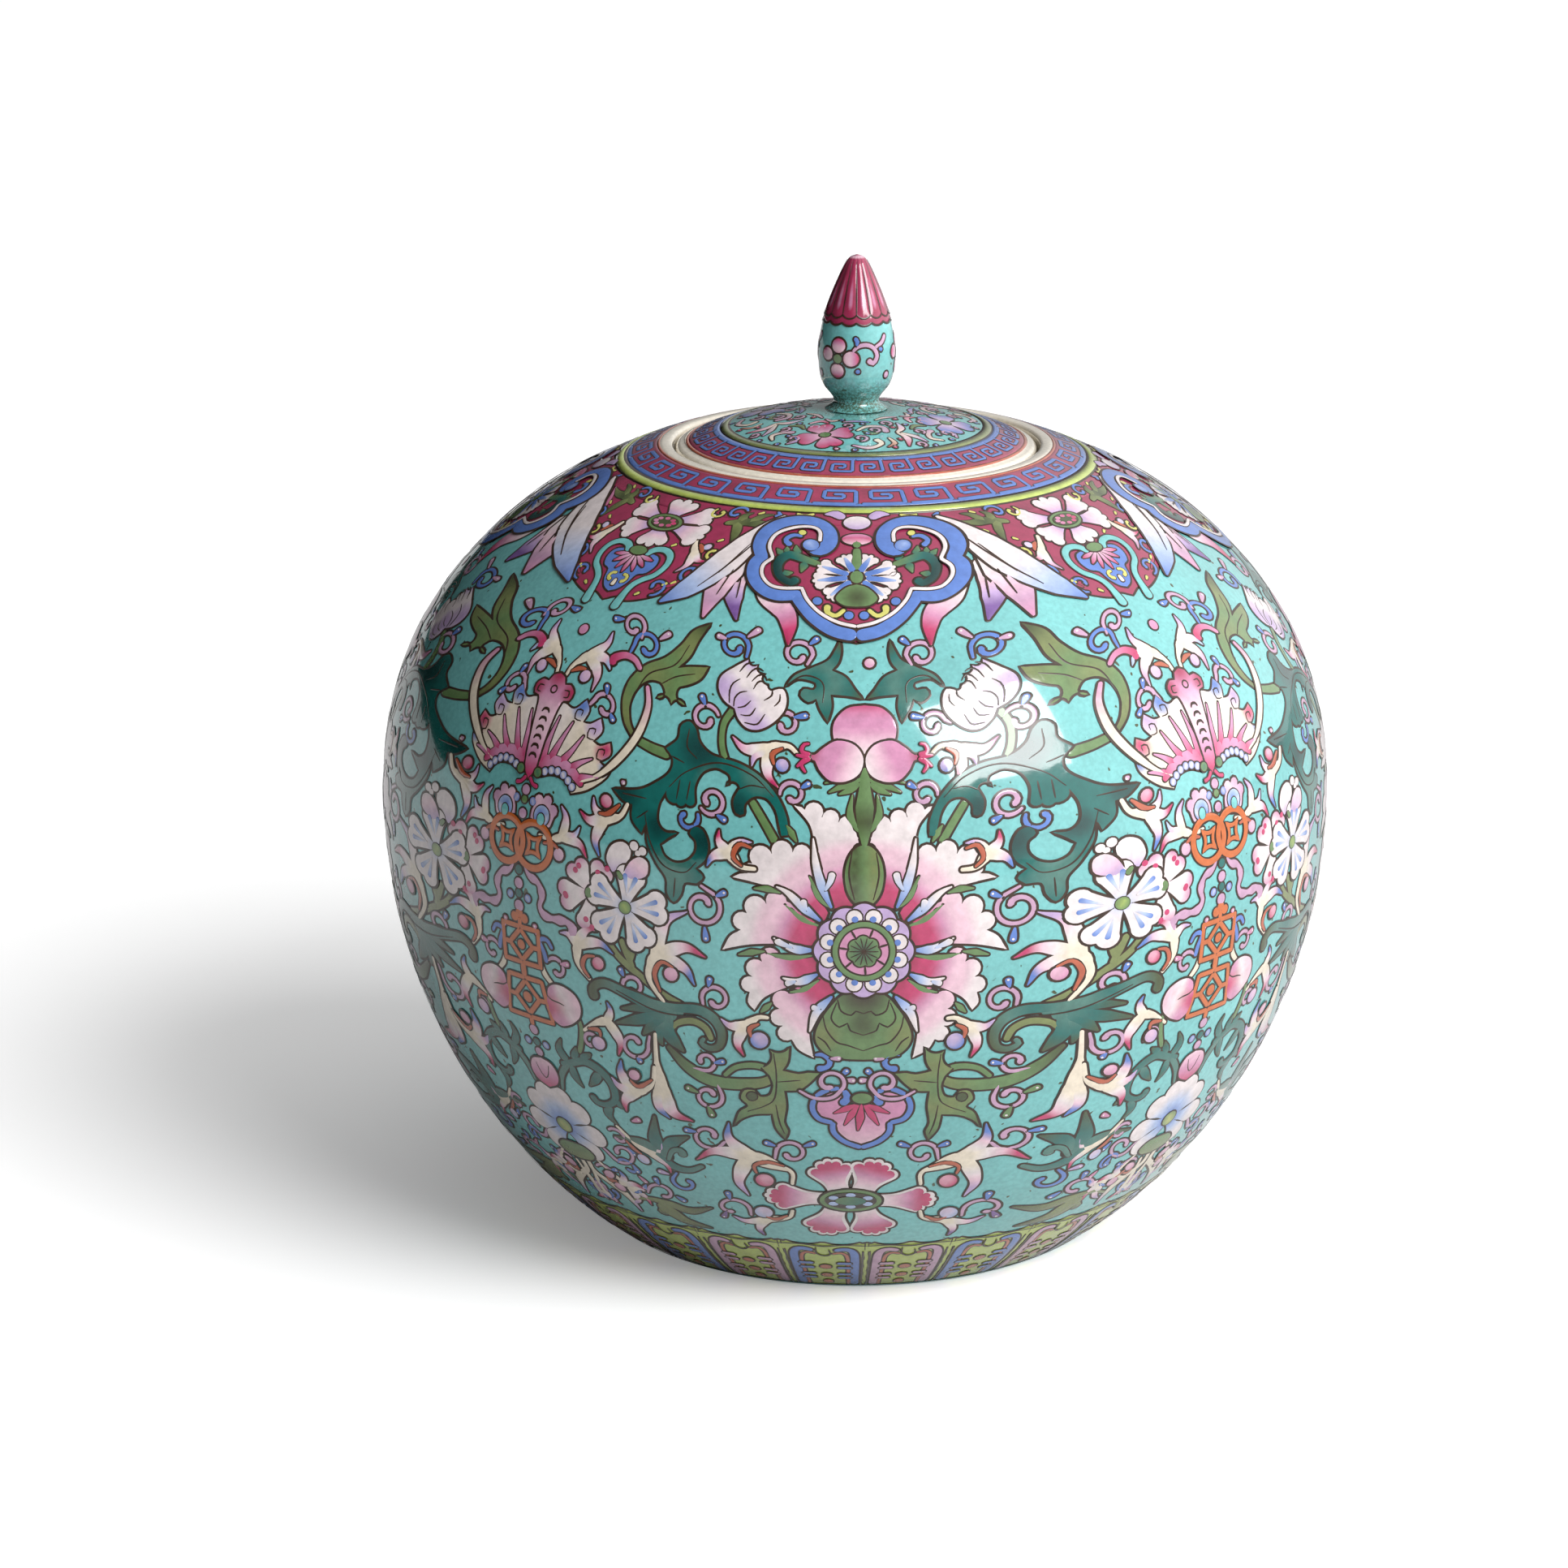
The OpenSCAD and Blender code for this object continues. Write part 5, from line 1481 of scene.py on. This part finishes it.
class Nodes:
    """A material's node tree, with short calls for the nodes used here."""

    def __init__(self, name):
        self.material = bpy.data.materials.new(name)
        self.material.use_nodes = True
        self.tree = self.material.node_tree
        self.shader = self.tree.nodes["Principled BSDF"]
        self.where = self.tree.nodes.new("ShaderNodeTexCoord").outputs["Object"]

    def link(self, out, into):
        self.tree.links.new(out, into)

    def colour(self, out):
        self.link(out, self.shader.inputs["Base Color"])

    def noise(self, scale, detail=3.0, roughness=0.5):
        node = self.tree.nodes.new("ShaderNodeTexNoise")
        node.inputs["Scale"].default_value = scale
        node.inputs["Detail"].default_value = detail
        node.inputs["Roughness"].default_value = roughness
        self.link(self.where, node.inputs["Vector"])
        return node.outputs["Fac"]

    def ramp(self, value, *stops):
        """Colours a value; stops are (position, linear colour) pairs."""
        node = self.tree.nodes.new("ShaderNodeValToRGB")
        first, last = node.color_ramp.elements
        first.position, last.position = stops[0][0], stops[-1][0]
        for stop in stops[1:-1]:
            node.color_ramp.elements.new(stop[0])
        for element, stop in zip(node.color_ramp.elements, stops):
            element.color = (*stop[1], 1)
        self.link(value, node.inputs["Fac"])
        return node.outputs["Color"]

    def mix(self, blend, share, a, b):
        """Mixes two colours; each input is a value or another node's output."""
        node = self.tree.nodes.new("ShaderNodeMix")
        node.data_type, node.blend_type = "RGBA", blend
        factor, colour_a, colour_b = node.inputs[0], node.inputs[6], node.inputs[7]
        for socket, value in ((factor, share), (colour_a, a), (colour_b, b)):
            if isinstance(value, bpy.types.NodeSocket):
                self.link(value, socket)
            else:
                socket.default_value = value
        return node.outputs[2]

    def bump(self, height, distance):
        node = self.tree.nodes.new("ShaderNodeBump")
        node.inputs["Distance"].default_value = distance
        node.inputs["Strength"].default_value = 1.0
        self.link(height, node.inputs["Height"])
        self.link(node.outputs["Normal"], self.shader.inputs["Normal"])

    def gloss(self, roughness, coat=0.0, coat_roughness=0.03):
        self.shader.inputs["Roughness"].default_value = roughness
        self.shader.inputs["Coat Weight"].default_value = coat
        self.shader.inputs["Coat Roughness"].default_value = coat_roughness
        self.shader.inputs["Coat IOR"].default_value = LEAD_GLASS_IOR


def glaze(name, base, mottle=0.12, cloud_scale=38, flecks=False, neck=0.0):
    """Opaque glossy glaze: a cloudy colour, fine grain, dark flecks and a slightly rippled surface.

    neck is the height in metres round which dense dark green speckles paint shade under the finial's bulb."""
    n = Nodes(name)
    clouds = n.ramp(n.noise(cloud_scale, 4, 0.55), (0.3, tone(base, 1 - mottle)), (0.5, tone(base)),
                    (0.72, tone(base, 1 + mottle)))
    grain = n.ramp(n.noise(900, 2), (0.35, grey(0.86)), (0.65, WHITE))
    colour = n.mix("MULTIPLY", 1.0, clouds, grain)
    if flecks:
        fleck = n.ramp(n.noise(520, 1, 0.4), (0.235, WHITE), (0.27, BLACK))
        colour = n.mix("MIX", fleck, colour, (*tone("moss", 0.8), 1))
    # painted shade: dense dark green speckles on the finial's neck and the lid round it, under the bulb's
    # overhang
    if neck:
        away = n.tree.nodes.new("ShaderNodeVectorMath")
        away.operation = "DISTANCE"
        away.inputs[1].default_value = (0, 0, neck)
        n.link(n.where, away.inputs[0])
        near = n.ramp(away.outputs["Value"], (0.0062, WHITE), (0.0125, BLACK))
        neck_shade_speckle = n.ramp(n.noise(1600, 2, 0.7), (0.38, BLACK), (0.56, WHITE))
        colour = n.mix("MIX", n.mix("MULTIPLY", 1.0, near, neck_shade_speckle), colour, (*tone("moss", 0.75), 1))
    n.colour(colour)
    n.gloss(0.1, 0.8)
    n.bump(n.noise(60, 3), 0.00006)
    return n.material


def painted():
    """Overglaze enamel whose colour is painted on the mesh."""
    n = Nodes("painted_enamel")
    paint = n.tree.nodes.new("ShaderNodeAttribute")
    paint.attribute_name = "paint"
    grain = n.ramp(n.noise(420, 3, 0.6), (0.3, grey(0.84)), (0.7, grey(1.06)))
    n.colour(n.mix("MULTIPLY", 1.0, paint.outputs["Color"], grain))
    n.gloss(0.13, 0.7, 0.05)
    n.bump(n.noise(700, 2), 0.00003)
    return n.material


def outline_material():
    """Dark brown enamel of uneven thickness."""
    n = Nodes("outline_enamel")
    n.colour(n.ramp(n.noise(300, 2), (0.35, tone("line", 0.7)), (0.7, tone("line", 1.3))))
    n.gloss(0.3, 0.3, 0.1)
    return n.material


def bare_clay():
    """Matt unglazed porcelain, stained by use."""
    n = Nodes("bare_porcelain")
    n.colour(n.ramp(n.noise(160, 5, 0.6), (0.3, (0.45, 0.36, 0.26)), (0.7, (0.68, 0.6, 0.48))))
    n.gloss(0.75)
    n.bump(n.noise(1500, 3), 0.00008)
    return n.material


TURQUOISE = glaze("turquoise_glaze", "turquoise", flecks=True)
# this glaze has painted shade, in dark green speckles, round the finial's neck
LID_TURQUOISE = glaze("lid_turquoise_glaze", "turquoise", flecks=True, neck=(LID_CROWN_Z + 1) * MM)
CRIMSON = glaze("crimson_enamel", "crimson", 0.3, 120)
PORCELAIN = glaze("white_glaze", "ivory", 0.05)
LIME = glaze("lime_enamel", "yellow", 0.15, 200)
GREEN = glaze("green_enamel", "olive", 0.25, 260)
BLUE = glaze("blue_enamel", "blue", 0.2, 200)
ORANGE = glaze("orange_enamel", "rust", 0.2, 300)
BARE = bare_clay()
ENAMEL, OUTLINE = painted(), outline_material()

# ---------------------------------------------------------------- turned surfaces, as (r, z) in millimetres

BODY, LID = "jar", "lid"
FOOT_R = 65.4
FOOT_RECESS_R = 55.0
FLOOR_Z = 10.0                  # the inside of the base
RIM_R = 47.2
GALLERY_R = LID_R + 0.7         # the recess that the lid drops into, with the lid's play
MOUTH_R = FLANGE_R + 0.9        # the open mouth, with the flange's play
LIP_H = 4.5                     # height of the mouth's wall below the lid's seat
FLANGE_IN_R = FLANGE_R - 4.1
LID_T = 4.2                     # thickness of the lid
LID_GLAZE_R = 39.8              # the lid's turquoise ends here, under its painted border
BULB_SHARE = 0.7                # the finial's turquoise runs up to this share of its height, under the cap


def dome(crown_z, bend, edge_r, count):
    """Points of a shallow dome from its edge to the axis."""
    return [(r, crown_z - bend + math.sqrt(bend**2 - r**2)) for r in np.linspace(edge_r, 0, count)]


outside = body_curve(low=FOOT_H, top_r=COLLAR_R, bands=160)
inside_wall = body_curve(WALL, FLOOR_Z, COLLAR_R, 80)
glazed = turned("jar_glaze", outside, BODY, TURQUOISE)
lining = turned("jar_lining", [*inside_wall[::-1], (0, FLOOR_Z)], BODY, PORCELAIN)
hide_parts("upper_body")
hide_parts("lower_body")

foot = turned("foot", [
    (0, FOOT_H), (FOOT_RECESS_R, FOOT_H), (FOOT_RECESS_R + 0.3, 2.6), (FOOT_RECESS_R + 0.9, 1.0),
    (FOOT_RECESS_R + 2.2, 0.1), (FOOT_RECESS_R + 3, 0), (FOOT_R - 2.2, 0), (FOOT_R - 1.2, 0.25),
    (FOOT_R - 0.4, 0.9), (FOOT_R, 1.6), (outside[0][0], FOOT_H),
], BODY, BARE)
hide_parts("foot_ring")

mouth = turned("mouth_rim", [
    (COLLAR_R, outside[-1][1]), (RIM_R, RIM_TOP_Z - 0.35), (RIM_R - 0.4, RIM_TOP_Z - 0.1),
    (RIM_R - 1.0, RIM_TOP_Z), (GALLERY_R + 1.0, RIM_TOP_Z), (GALLERY_R + 0.4, RIM_TOP_Z - 0.15),
    (GALLERY_R + 0.05, RIM_TOP_Z - 0.6), (GALLERY_R, RIM_TOP_Z - 1), (GALLERY_R, LID_SEAT_Z + 0.3),
    (GALLERY_R - 0.3, LID_SEAT_Z), (MOUTH_R + 0.5, LID_SEAT_Z), (MOUTH_R + 0.1, LID_SEAT_Z - 0.2),
    (MOUTH_R, LID_SEAT_Z - 0.6), (MOUTH_R, LID_SEAT_Z - LIP_H + 1), (MOUTH_R + 1, LID_SEAT_Z - LIP_H),
    (COLLAR_R, inside_wall[-1][1]),
], BODY, PORCELAIN)
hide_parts("mouth_ring")

lid_shoulder_r = LID_R - LID_EDGE_ROUND
lid_shoulder_z = LID_CROWN_Z - LID_DOME_R + math.sqrt(LID_DOME_R**2 - lid_shoulder_r**2)
lid_roll = [
    (lid_shoulder_r + LID_EDGE_ROUND * math.cos(a), lid_shoulder_z - LID_EDGE_ROUND * (1 - math.sin(a)))
    for a in np.linspace(0, math.pi / 2, 9)[:-1]
]
lid_outline = [
    (LID_R - 0.4, LID_SEAT_Z), (LID_R - 0.1, LID_SEAT_Z + 0.12), (LID_R, LID_SEAT_Z + 0.5),
    *lid_roll, *dome(LID_CROWN_Z, LID_DOME_R, lid_shoulder_r, 60),
]
lid_edge = [p for p in lid_outline if p[0] > LID_GLAZE_R]
lid_top = turned("lid_glaze", lid_outline[len(lid_edge) - 1:], LID, LID_TURQUOISE)
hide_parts("lid_plate")
turned("lid_edge", lid_edge, LID, PORCELAIN)
lid_under = turned("lid_underside", [
    *dome(LID_CROWN_Z - LID_T, LID_DOME_R - LID_T, FLANGE_IN_R, 20)[::-1],
    (FLANGE_IN_R, FLANGE_LOW_Z + 1.4), (FLANGE_IN_R + 0.4, FLANGE_LOW_Z + 0.4),
    (FLANGE_IN_R + 1.3, FLANGE_LOW_Z), (FLANGE_R - 1.3, FLANGE_LOW_Z), (FLANGE_R - 0.4, FLANGE_LOW_Z + 0.4),
    (FLANGE_R, FLANGE_LOW_Z + 1.4), (FLANGE_R, LID_SEAT_Z), (LID_R - 0.4, LID_SEAT_Z),
], LID, PORCELAIN)
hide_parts("lid_flange")

# The finial's outline as shares of its radius and height: a turquoise bulb below, a crimson cap above
FINIAL_SHARES = (
    (0.82, 0), (0.63, 0.03), (0.59, 0.06), (0.67, 0.095), (0.86, 0.155), (0.96, 0.23), (1, 0.37),
    (0.95, 0.49), (0.83, 0.62), (0.64, 0.75), (0.41, 0.88), (0.26, 0.955), (0.14, 0.988), (0, 1),
)
finial_h = FINIAL_TOP_Z - FINIAL_LOW_Z
finial_outline = smooth(*((r * FINIAL_R, FINIAL_LOW_Z + z * finial_h) for r, z in FINIAL_SHARES))
finial_outline = np.maximum(finial_outline, 0)
bulb_outline = finial_outline[finial_outline[:, 1] < FINIAL_LOW_Z + BULB_SHARE * finial_h]
bulb = turned("finial_bulb", bulb_outline, LID, LID_TURQUOISE, segments=128)
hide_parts("finial")


def finial_cap():
    """The crimson cap: slightly fluted, with a lower edge that is scalloped once for each petal."""
    segments, rows = CAP_PETALS * 14, 34
    # across runs from 0 between two petals to 1 along the middle of a petal, share from the edge to the tip
    angle = np.arange(segments) * 2 * math.pi / segments
    across = np.abs(np.sin(angle * CAP_PETALS / 2))
    low = FINIAL_LOW_Z + CAP_LOW + 0.5 * (1 - across)
    share = np.linspace(0, 1, rows)[:, None]
    z = low + (FINIAL_TOP_Z - low) * share
    r = np.interp(z, finial_outline[:, 1], finial_outline[:, 0])
    above = z - FINIAL_LOW_Z - CAP_LOW - CAP_BORDER
    flute = 0.16 * (across - 0.5) * np.clip(above / 2, 0, 1) * np.minimum(r / 4, 1)
    r = r + (0.1 + flute) * np.minimum(share * 30, 1) * (share < 1)
    points = np.stack([r * np.sin(angle), -r * np.cos(angle), z], -1).reshape(-1, 3)
    streak = across**3 * np.clip(above / 3, 0, 1) * np.clip(1.5 - above / 10, 0.2, 1)
    crown = np.clip((share - 0.94) / 0.03, 0, 1) * np.clip((0.985 - share) / 0.01, 0, 1)
    paleness = np.clip(0.62 * streak + 0.9 * crown, 0, 1).reshape(-1)
    colours = blend_colours(paleness, ("crimson", "ruby", "pink", "blush"))
    faces = []
    for a in range(0, (rows - 1) * segments, segments):
        for j in range(segments):
            k = (j + 1) % segments
            faces.append([a + j, a + k, a + segments + k, a + segments + j])
    mesh_piece("finial_cap", points, faces, colours, LID, ENAMEL)


finial_cap()

# ---------------------------------------------------------------- ornament laid onto the surfaces


def four_quarters():
    """The field, ruyi head, bat and lappet of each quarter; half motifs are laid twice, once mirrored."""
    field, sprays = [acanthus(), olive_ring(), blossoms(), low_scroll()], [sprigs(), tendrils()]
    centre, ruyi_head, leaves = [lotus(), crest(), palmette(), foot_flower()], ruyi(), frond()
    hanging, flower_lappet = [bat(), tablet(), pendant()], lappet()
    for k, axis in enumerate(LOTUS_AXES):
        gaps = (axis - BAT_AXES[k - 1]) % 360, BAT_AXES[k] - axis
        spread = [math.radians(gap) - SECTOR for gap in gaps]
        here = wrapped(body_skin, math.radians(axis), spread=spread)
        there = wrapped(body_skin, math.radians(axis), mirror=True, spread=spread)
        for name, halves in (("leaves", field), ("sprays", sprays)):
            enamel_piece(f"{name}_left_{k}", BODY, *((half, here, False) for half in halves))
            enamel_piece(f"{name}_right_{k}", BODY, *((half, there, True) for half in halves))
        enamel_piece(f"lotus_{k}", BODY, *((motif, here, False) for motif in centre))
        enamel_piece(f"ruyi_{k}", BODY, (ruyi_head, here, False), (leaves, here, False),
                     (leaves, there, True))
        bat_place = wrapped(body_skin, math.radians(BAT_AXES[k]))
        enamel_piece(f"bat_{k}", BODY, *((motif, bat_place, False) for motif in hanging))
        enamel_piece(f"lappet_{k}", BODY, (flower_lappet, bat_place, False))


def ring_band(name, skin, low, high, height, body, material):
    """A raised band of one enamel right round a turned surface, between two places on its outline."""
    s = np.linspace(low, high, max(3, int((high - low) / 0.8)))
    top = skin.point(np.zeros(len(s)), s, np.full(len(s), height))
    ends = skin.point(np.zeros(2), np.array([low, high]), np.zeros(2))
    outline = [(-p[1], p[2]) for p in (ends[0], *top, ends[1])]
    turned(name, outline, body, material)


def fret_band(name, skin, body, radius, count, foot, height, width, turn=0.0):
    """A key fret right round a turned surface, where its radius is about the one given."""
    drawing = fret(count, 2 * math.pi * radius / count, foot, height, width)
    enamel_piece(name, body, (drawing, wrapped(skin, turn, reference=radius), False))


four_quarters()
for name, low, high, height, material in (
    ("collar_ground", 222.5, 238, 0.11, CRIMSON), ("collar_orange", 237.7, 238.4, 0.14, ORANGE),
    ("collar_blue", 229.9, 230.9, 0.15, BLUE), ("collar_line", 226.6, 230, 0.15, OUTLINE),
    ("collar_lime", 227.2, 229.2, 0.2, LIME),
):
    ring_band(name, body_skin, low, high, height, BODY, material)
fret_band("collar_fret", body_skin, BODY, radius=53, count=30, foot=230.6, height=5.9, width=0.95,
          turn=math.radians(1.5))
enamel_piece("foot_lappets", BODY,
             (foot_lappets(), wrapped(body_skin, math.radians(9.3), reference=83.2), False))

lid_skin = Skin([p for p in lid_outline if p[1] > lid_shoulder_z - 0.8])


def lid_s(r):
    """How far up the lid's outline a radius lies."""
    return float(np.interp(r, lid_skin.r[::-1], lid_skin.s[::-1]))


for name, outer_r, inner_r, height, material in (
    ("lid_orange", 40.9, 40.1, 0.1, ORANGE), ("lid_band", 40.4, 32, 0.07, CRIMSON),
    ("lid_blue", 34, 32.7, 0.15, BLUE), ("lid_line", 32.8, 30.2, 0.11, OUTLINE),
    ("lid_green", 32.3, 30.7, 0.16, GREEN),
):
    ring_band(name, lid_skin, lid_s(outer_r), lid_s(inner_r), height, LID, material)
fret_band("lid_fret", lid_skin, LID, radius=36.4, count=34, foot=lid_s(33.6),
          height=lid_s(38.9) - lid_s(33.6), width=0.72)
enamel_piece("lid_sprays", LID, (lid_sprays(), laid_on_top(lid_skin), False))

finial_skin = Skin(finial_outline)


def on_finial(points):
    """Lays a chart whose s is the height above the finial's foot."""
    x, height, lift = points.T
    s = np.interp(height + FINIAL_LOW_Z, finial_skin.z, finial_skin.s)
    return finial_skin.point(x / FINIAL_R, s, lift)


enamel_piece("finial_ornament", LID, (bulb_flowers(), on_finial, False), (cap_lines(), on_finial, False))

# ---------------------------------------------------------------- floor, light and camera, in metres

FLOOR_SIZE = 3.0
FLOOR_BOUNCE = 0.55     # how much light the floor throws back onto the jar
FLOOR_GLOW = 0.23       # lightens the floor as the camera sees it, shadow and all
WINDOW_AT = (0.719, -0.88, 1.008)
WINDOW_AIM = (0.03, -0.1, 0.147)
WINDOW_SIZE = (0.75, 0.7)
WINDOW_POWER = 12
KEY_ENERGY = 2.3
KEY_SPREAD = math.radians(45)
KEY_SIDE = math.radians(60)     # how far to the right of the front the key light stands
KEY_RISE = math.radians(34)     # and how high
# How the room brightens: along which axis, from which share of it, and by how much at its end
ROOM = (("X", -0.26, 1.25), ("Z", 0.0, 0.12))
CAMERA_AT = (0, -0.953, 0.4003)
CAMERA_DIP = math.radians(17.228)
CAMERA_TURN = math.radians(1.038)
CAMERA_LENS = 93.2


def floor():
    """A pale paper floor, bright to the camera and grey in what it reflects onto the jar."""
    corners = [(x * FLOOR_SIZE, y * FLOOR_SIZE, 0) for x, y in ((-1, -1), (1, -1), (1, 1), (-1, 1))]
    mesh = bpy.data.meshes.new("floor")
    mesh.from_pydata(corners, [], [(0, 1, 2, 3)])
    n = Nodes("floor_paper")
    seen = n.tree.nodes.new("ShaderNodeLightPath").outputs["Is Camera Ray"]
    paper = n.ramp(n.noise(3, 2), (0.3, grey(0.95)), (0.7, grey(0.98)))
    n.colour(n.mix("MIX", seen, (*grey(FLOOR_BOUNCE), 1), paper))
    n.link(n.mix("MIX", seen, (*BLACK, 1), (*grey(FLOOR_GLOW), 1)), n.shader.inputs["Emission Color"])
    n.shader.inputs["Emission Strength"].default_value = 1.0
    n.gloss(0.9)
    mesh.materials.append(n.material)
    o = bpy.data.objects.new("floor", mesh)
    bpy.context.scene.collection.objects.link(o)


def window():
    """A large window high on the right, in front of the jar; it makes the highlights."""
    data = bpy.data.lights.new("window", "AREA")
    data.shape, data.size, data.size_y = "RECTANGLE", *WINDOW_SIZE
    data.energy = WINDOW_POWER
    lamp = bpy.data.objects.new("window", data)
    lamp.location = WINDOW_AT
    lamp.rotation_euler = (Vector(WINDOW_AIM) - Vector(WINDOW_AT)).to_track_quat("-Z", "Y").to_euler()
    bpy.context.scene.collection.objects.link(lamp)


def key_light():
    """Broad soft light from the right, which isn't seen in reflections."""
    data = bpy.data.lights.new("key", "SUN")
    data.energy, data.angle = KEY_ENERGY, KEY_SPREAD
    lamp = bpy.data.objects.new("key", data)
    level = math.cos(KEY_RISE)
    towards = Vector((level * math.sin(KEY_SIDE), -level * math.cos(KEY_SIDE), math.sin(KEY_RISE)))
    lamp.rotation_euler = towards.to_track_quat("Z", "Y").to_euler()
    lamp.visible_glossy = False
    bpy.context.scene.collection.objects.link(lamp)


def room_light():
    """A pale room that brightens to the right and a little upwards; the camera sees it white."""
    world = bpy.data.worlds.new("room")
    world.use_nodes = True
    nodes, links = world.node_tree.nodes, world.node_tree.links
    split = nodes.new("ShaderNodeSeparateXYZ")
    links.new(nodes.new("ShaderNodeTexCoord").outputs["Generated"], split.inputs[0])
    total = nodes.new("ShaderNodeMath")
    for (axis, start, gain), socket in zip(ROOM, total.inputs):
        remap = nodes.new("ShaderNodeMapRange")
        remap.inputs["From Min"].default_value = start
        remap.inputs["To Max"].default_value = gain
        links.new(split.outputs[axis], remap.inputs["Value"])
        links.new(remap.outputs["Result"], socket)
    shown = nodes.new("ShaderNodeMix")
    links.new(nodes.new("ShaderNodeLightPath").outputs["Is Camera Ray"], shown.inputs["Factor"])
    links.new(total.outputs[0], shown.inputs["A"])
    shown.inputs["B"].default_value = 1.0
    background = nodes["Background"]
    links.new(shown.outputs["Result"], background.inputs["Strength"])
    background.inputs["Color"].default_value = (*WHITE, 1)
    bpy.context.scene.world = world


def camera():
    """The camera, in front of the jar and above its tip, looking slightly down."""
    data = bpy.data.cameras.new("camera")
    data.lens, data.sensor_width = CAMERA_LENS, 36.0
    o = bpy.data.objects.new("camera", data)
    o.location = CAMERA_AT
    o.rotation_euler = (math.pi / 2 - CAMERA_DIP, 0, CAMERA_TURN)
    bpy.context.scene.collection.objects.link(o)
    bpy.context.scene.camera = o


floor()
window()
key_light()
room_light()
camera()
bpy.context.scene.view_settings.view_transform = "Standard"
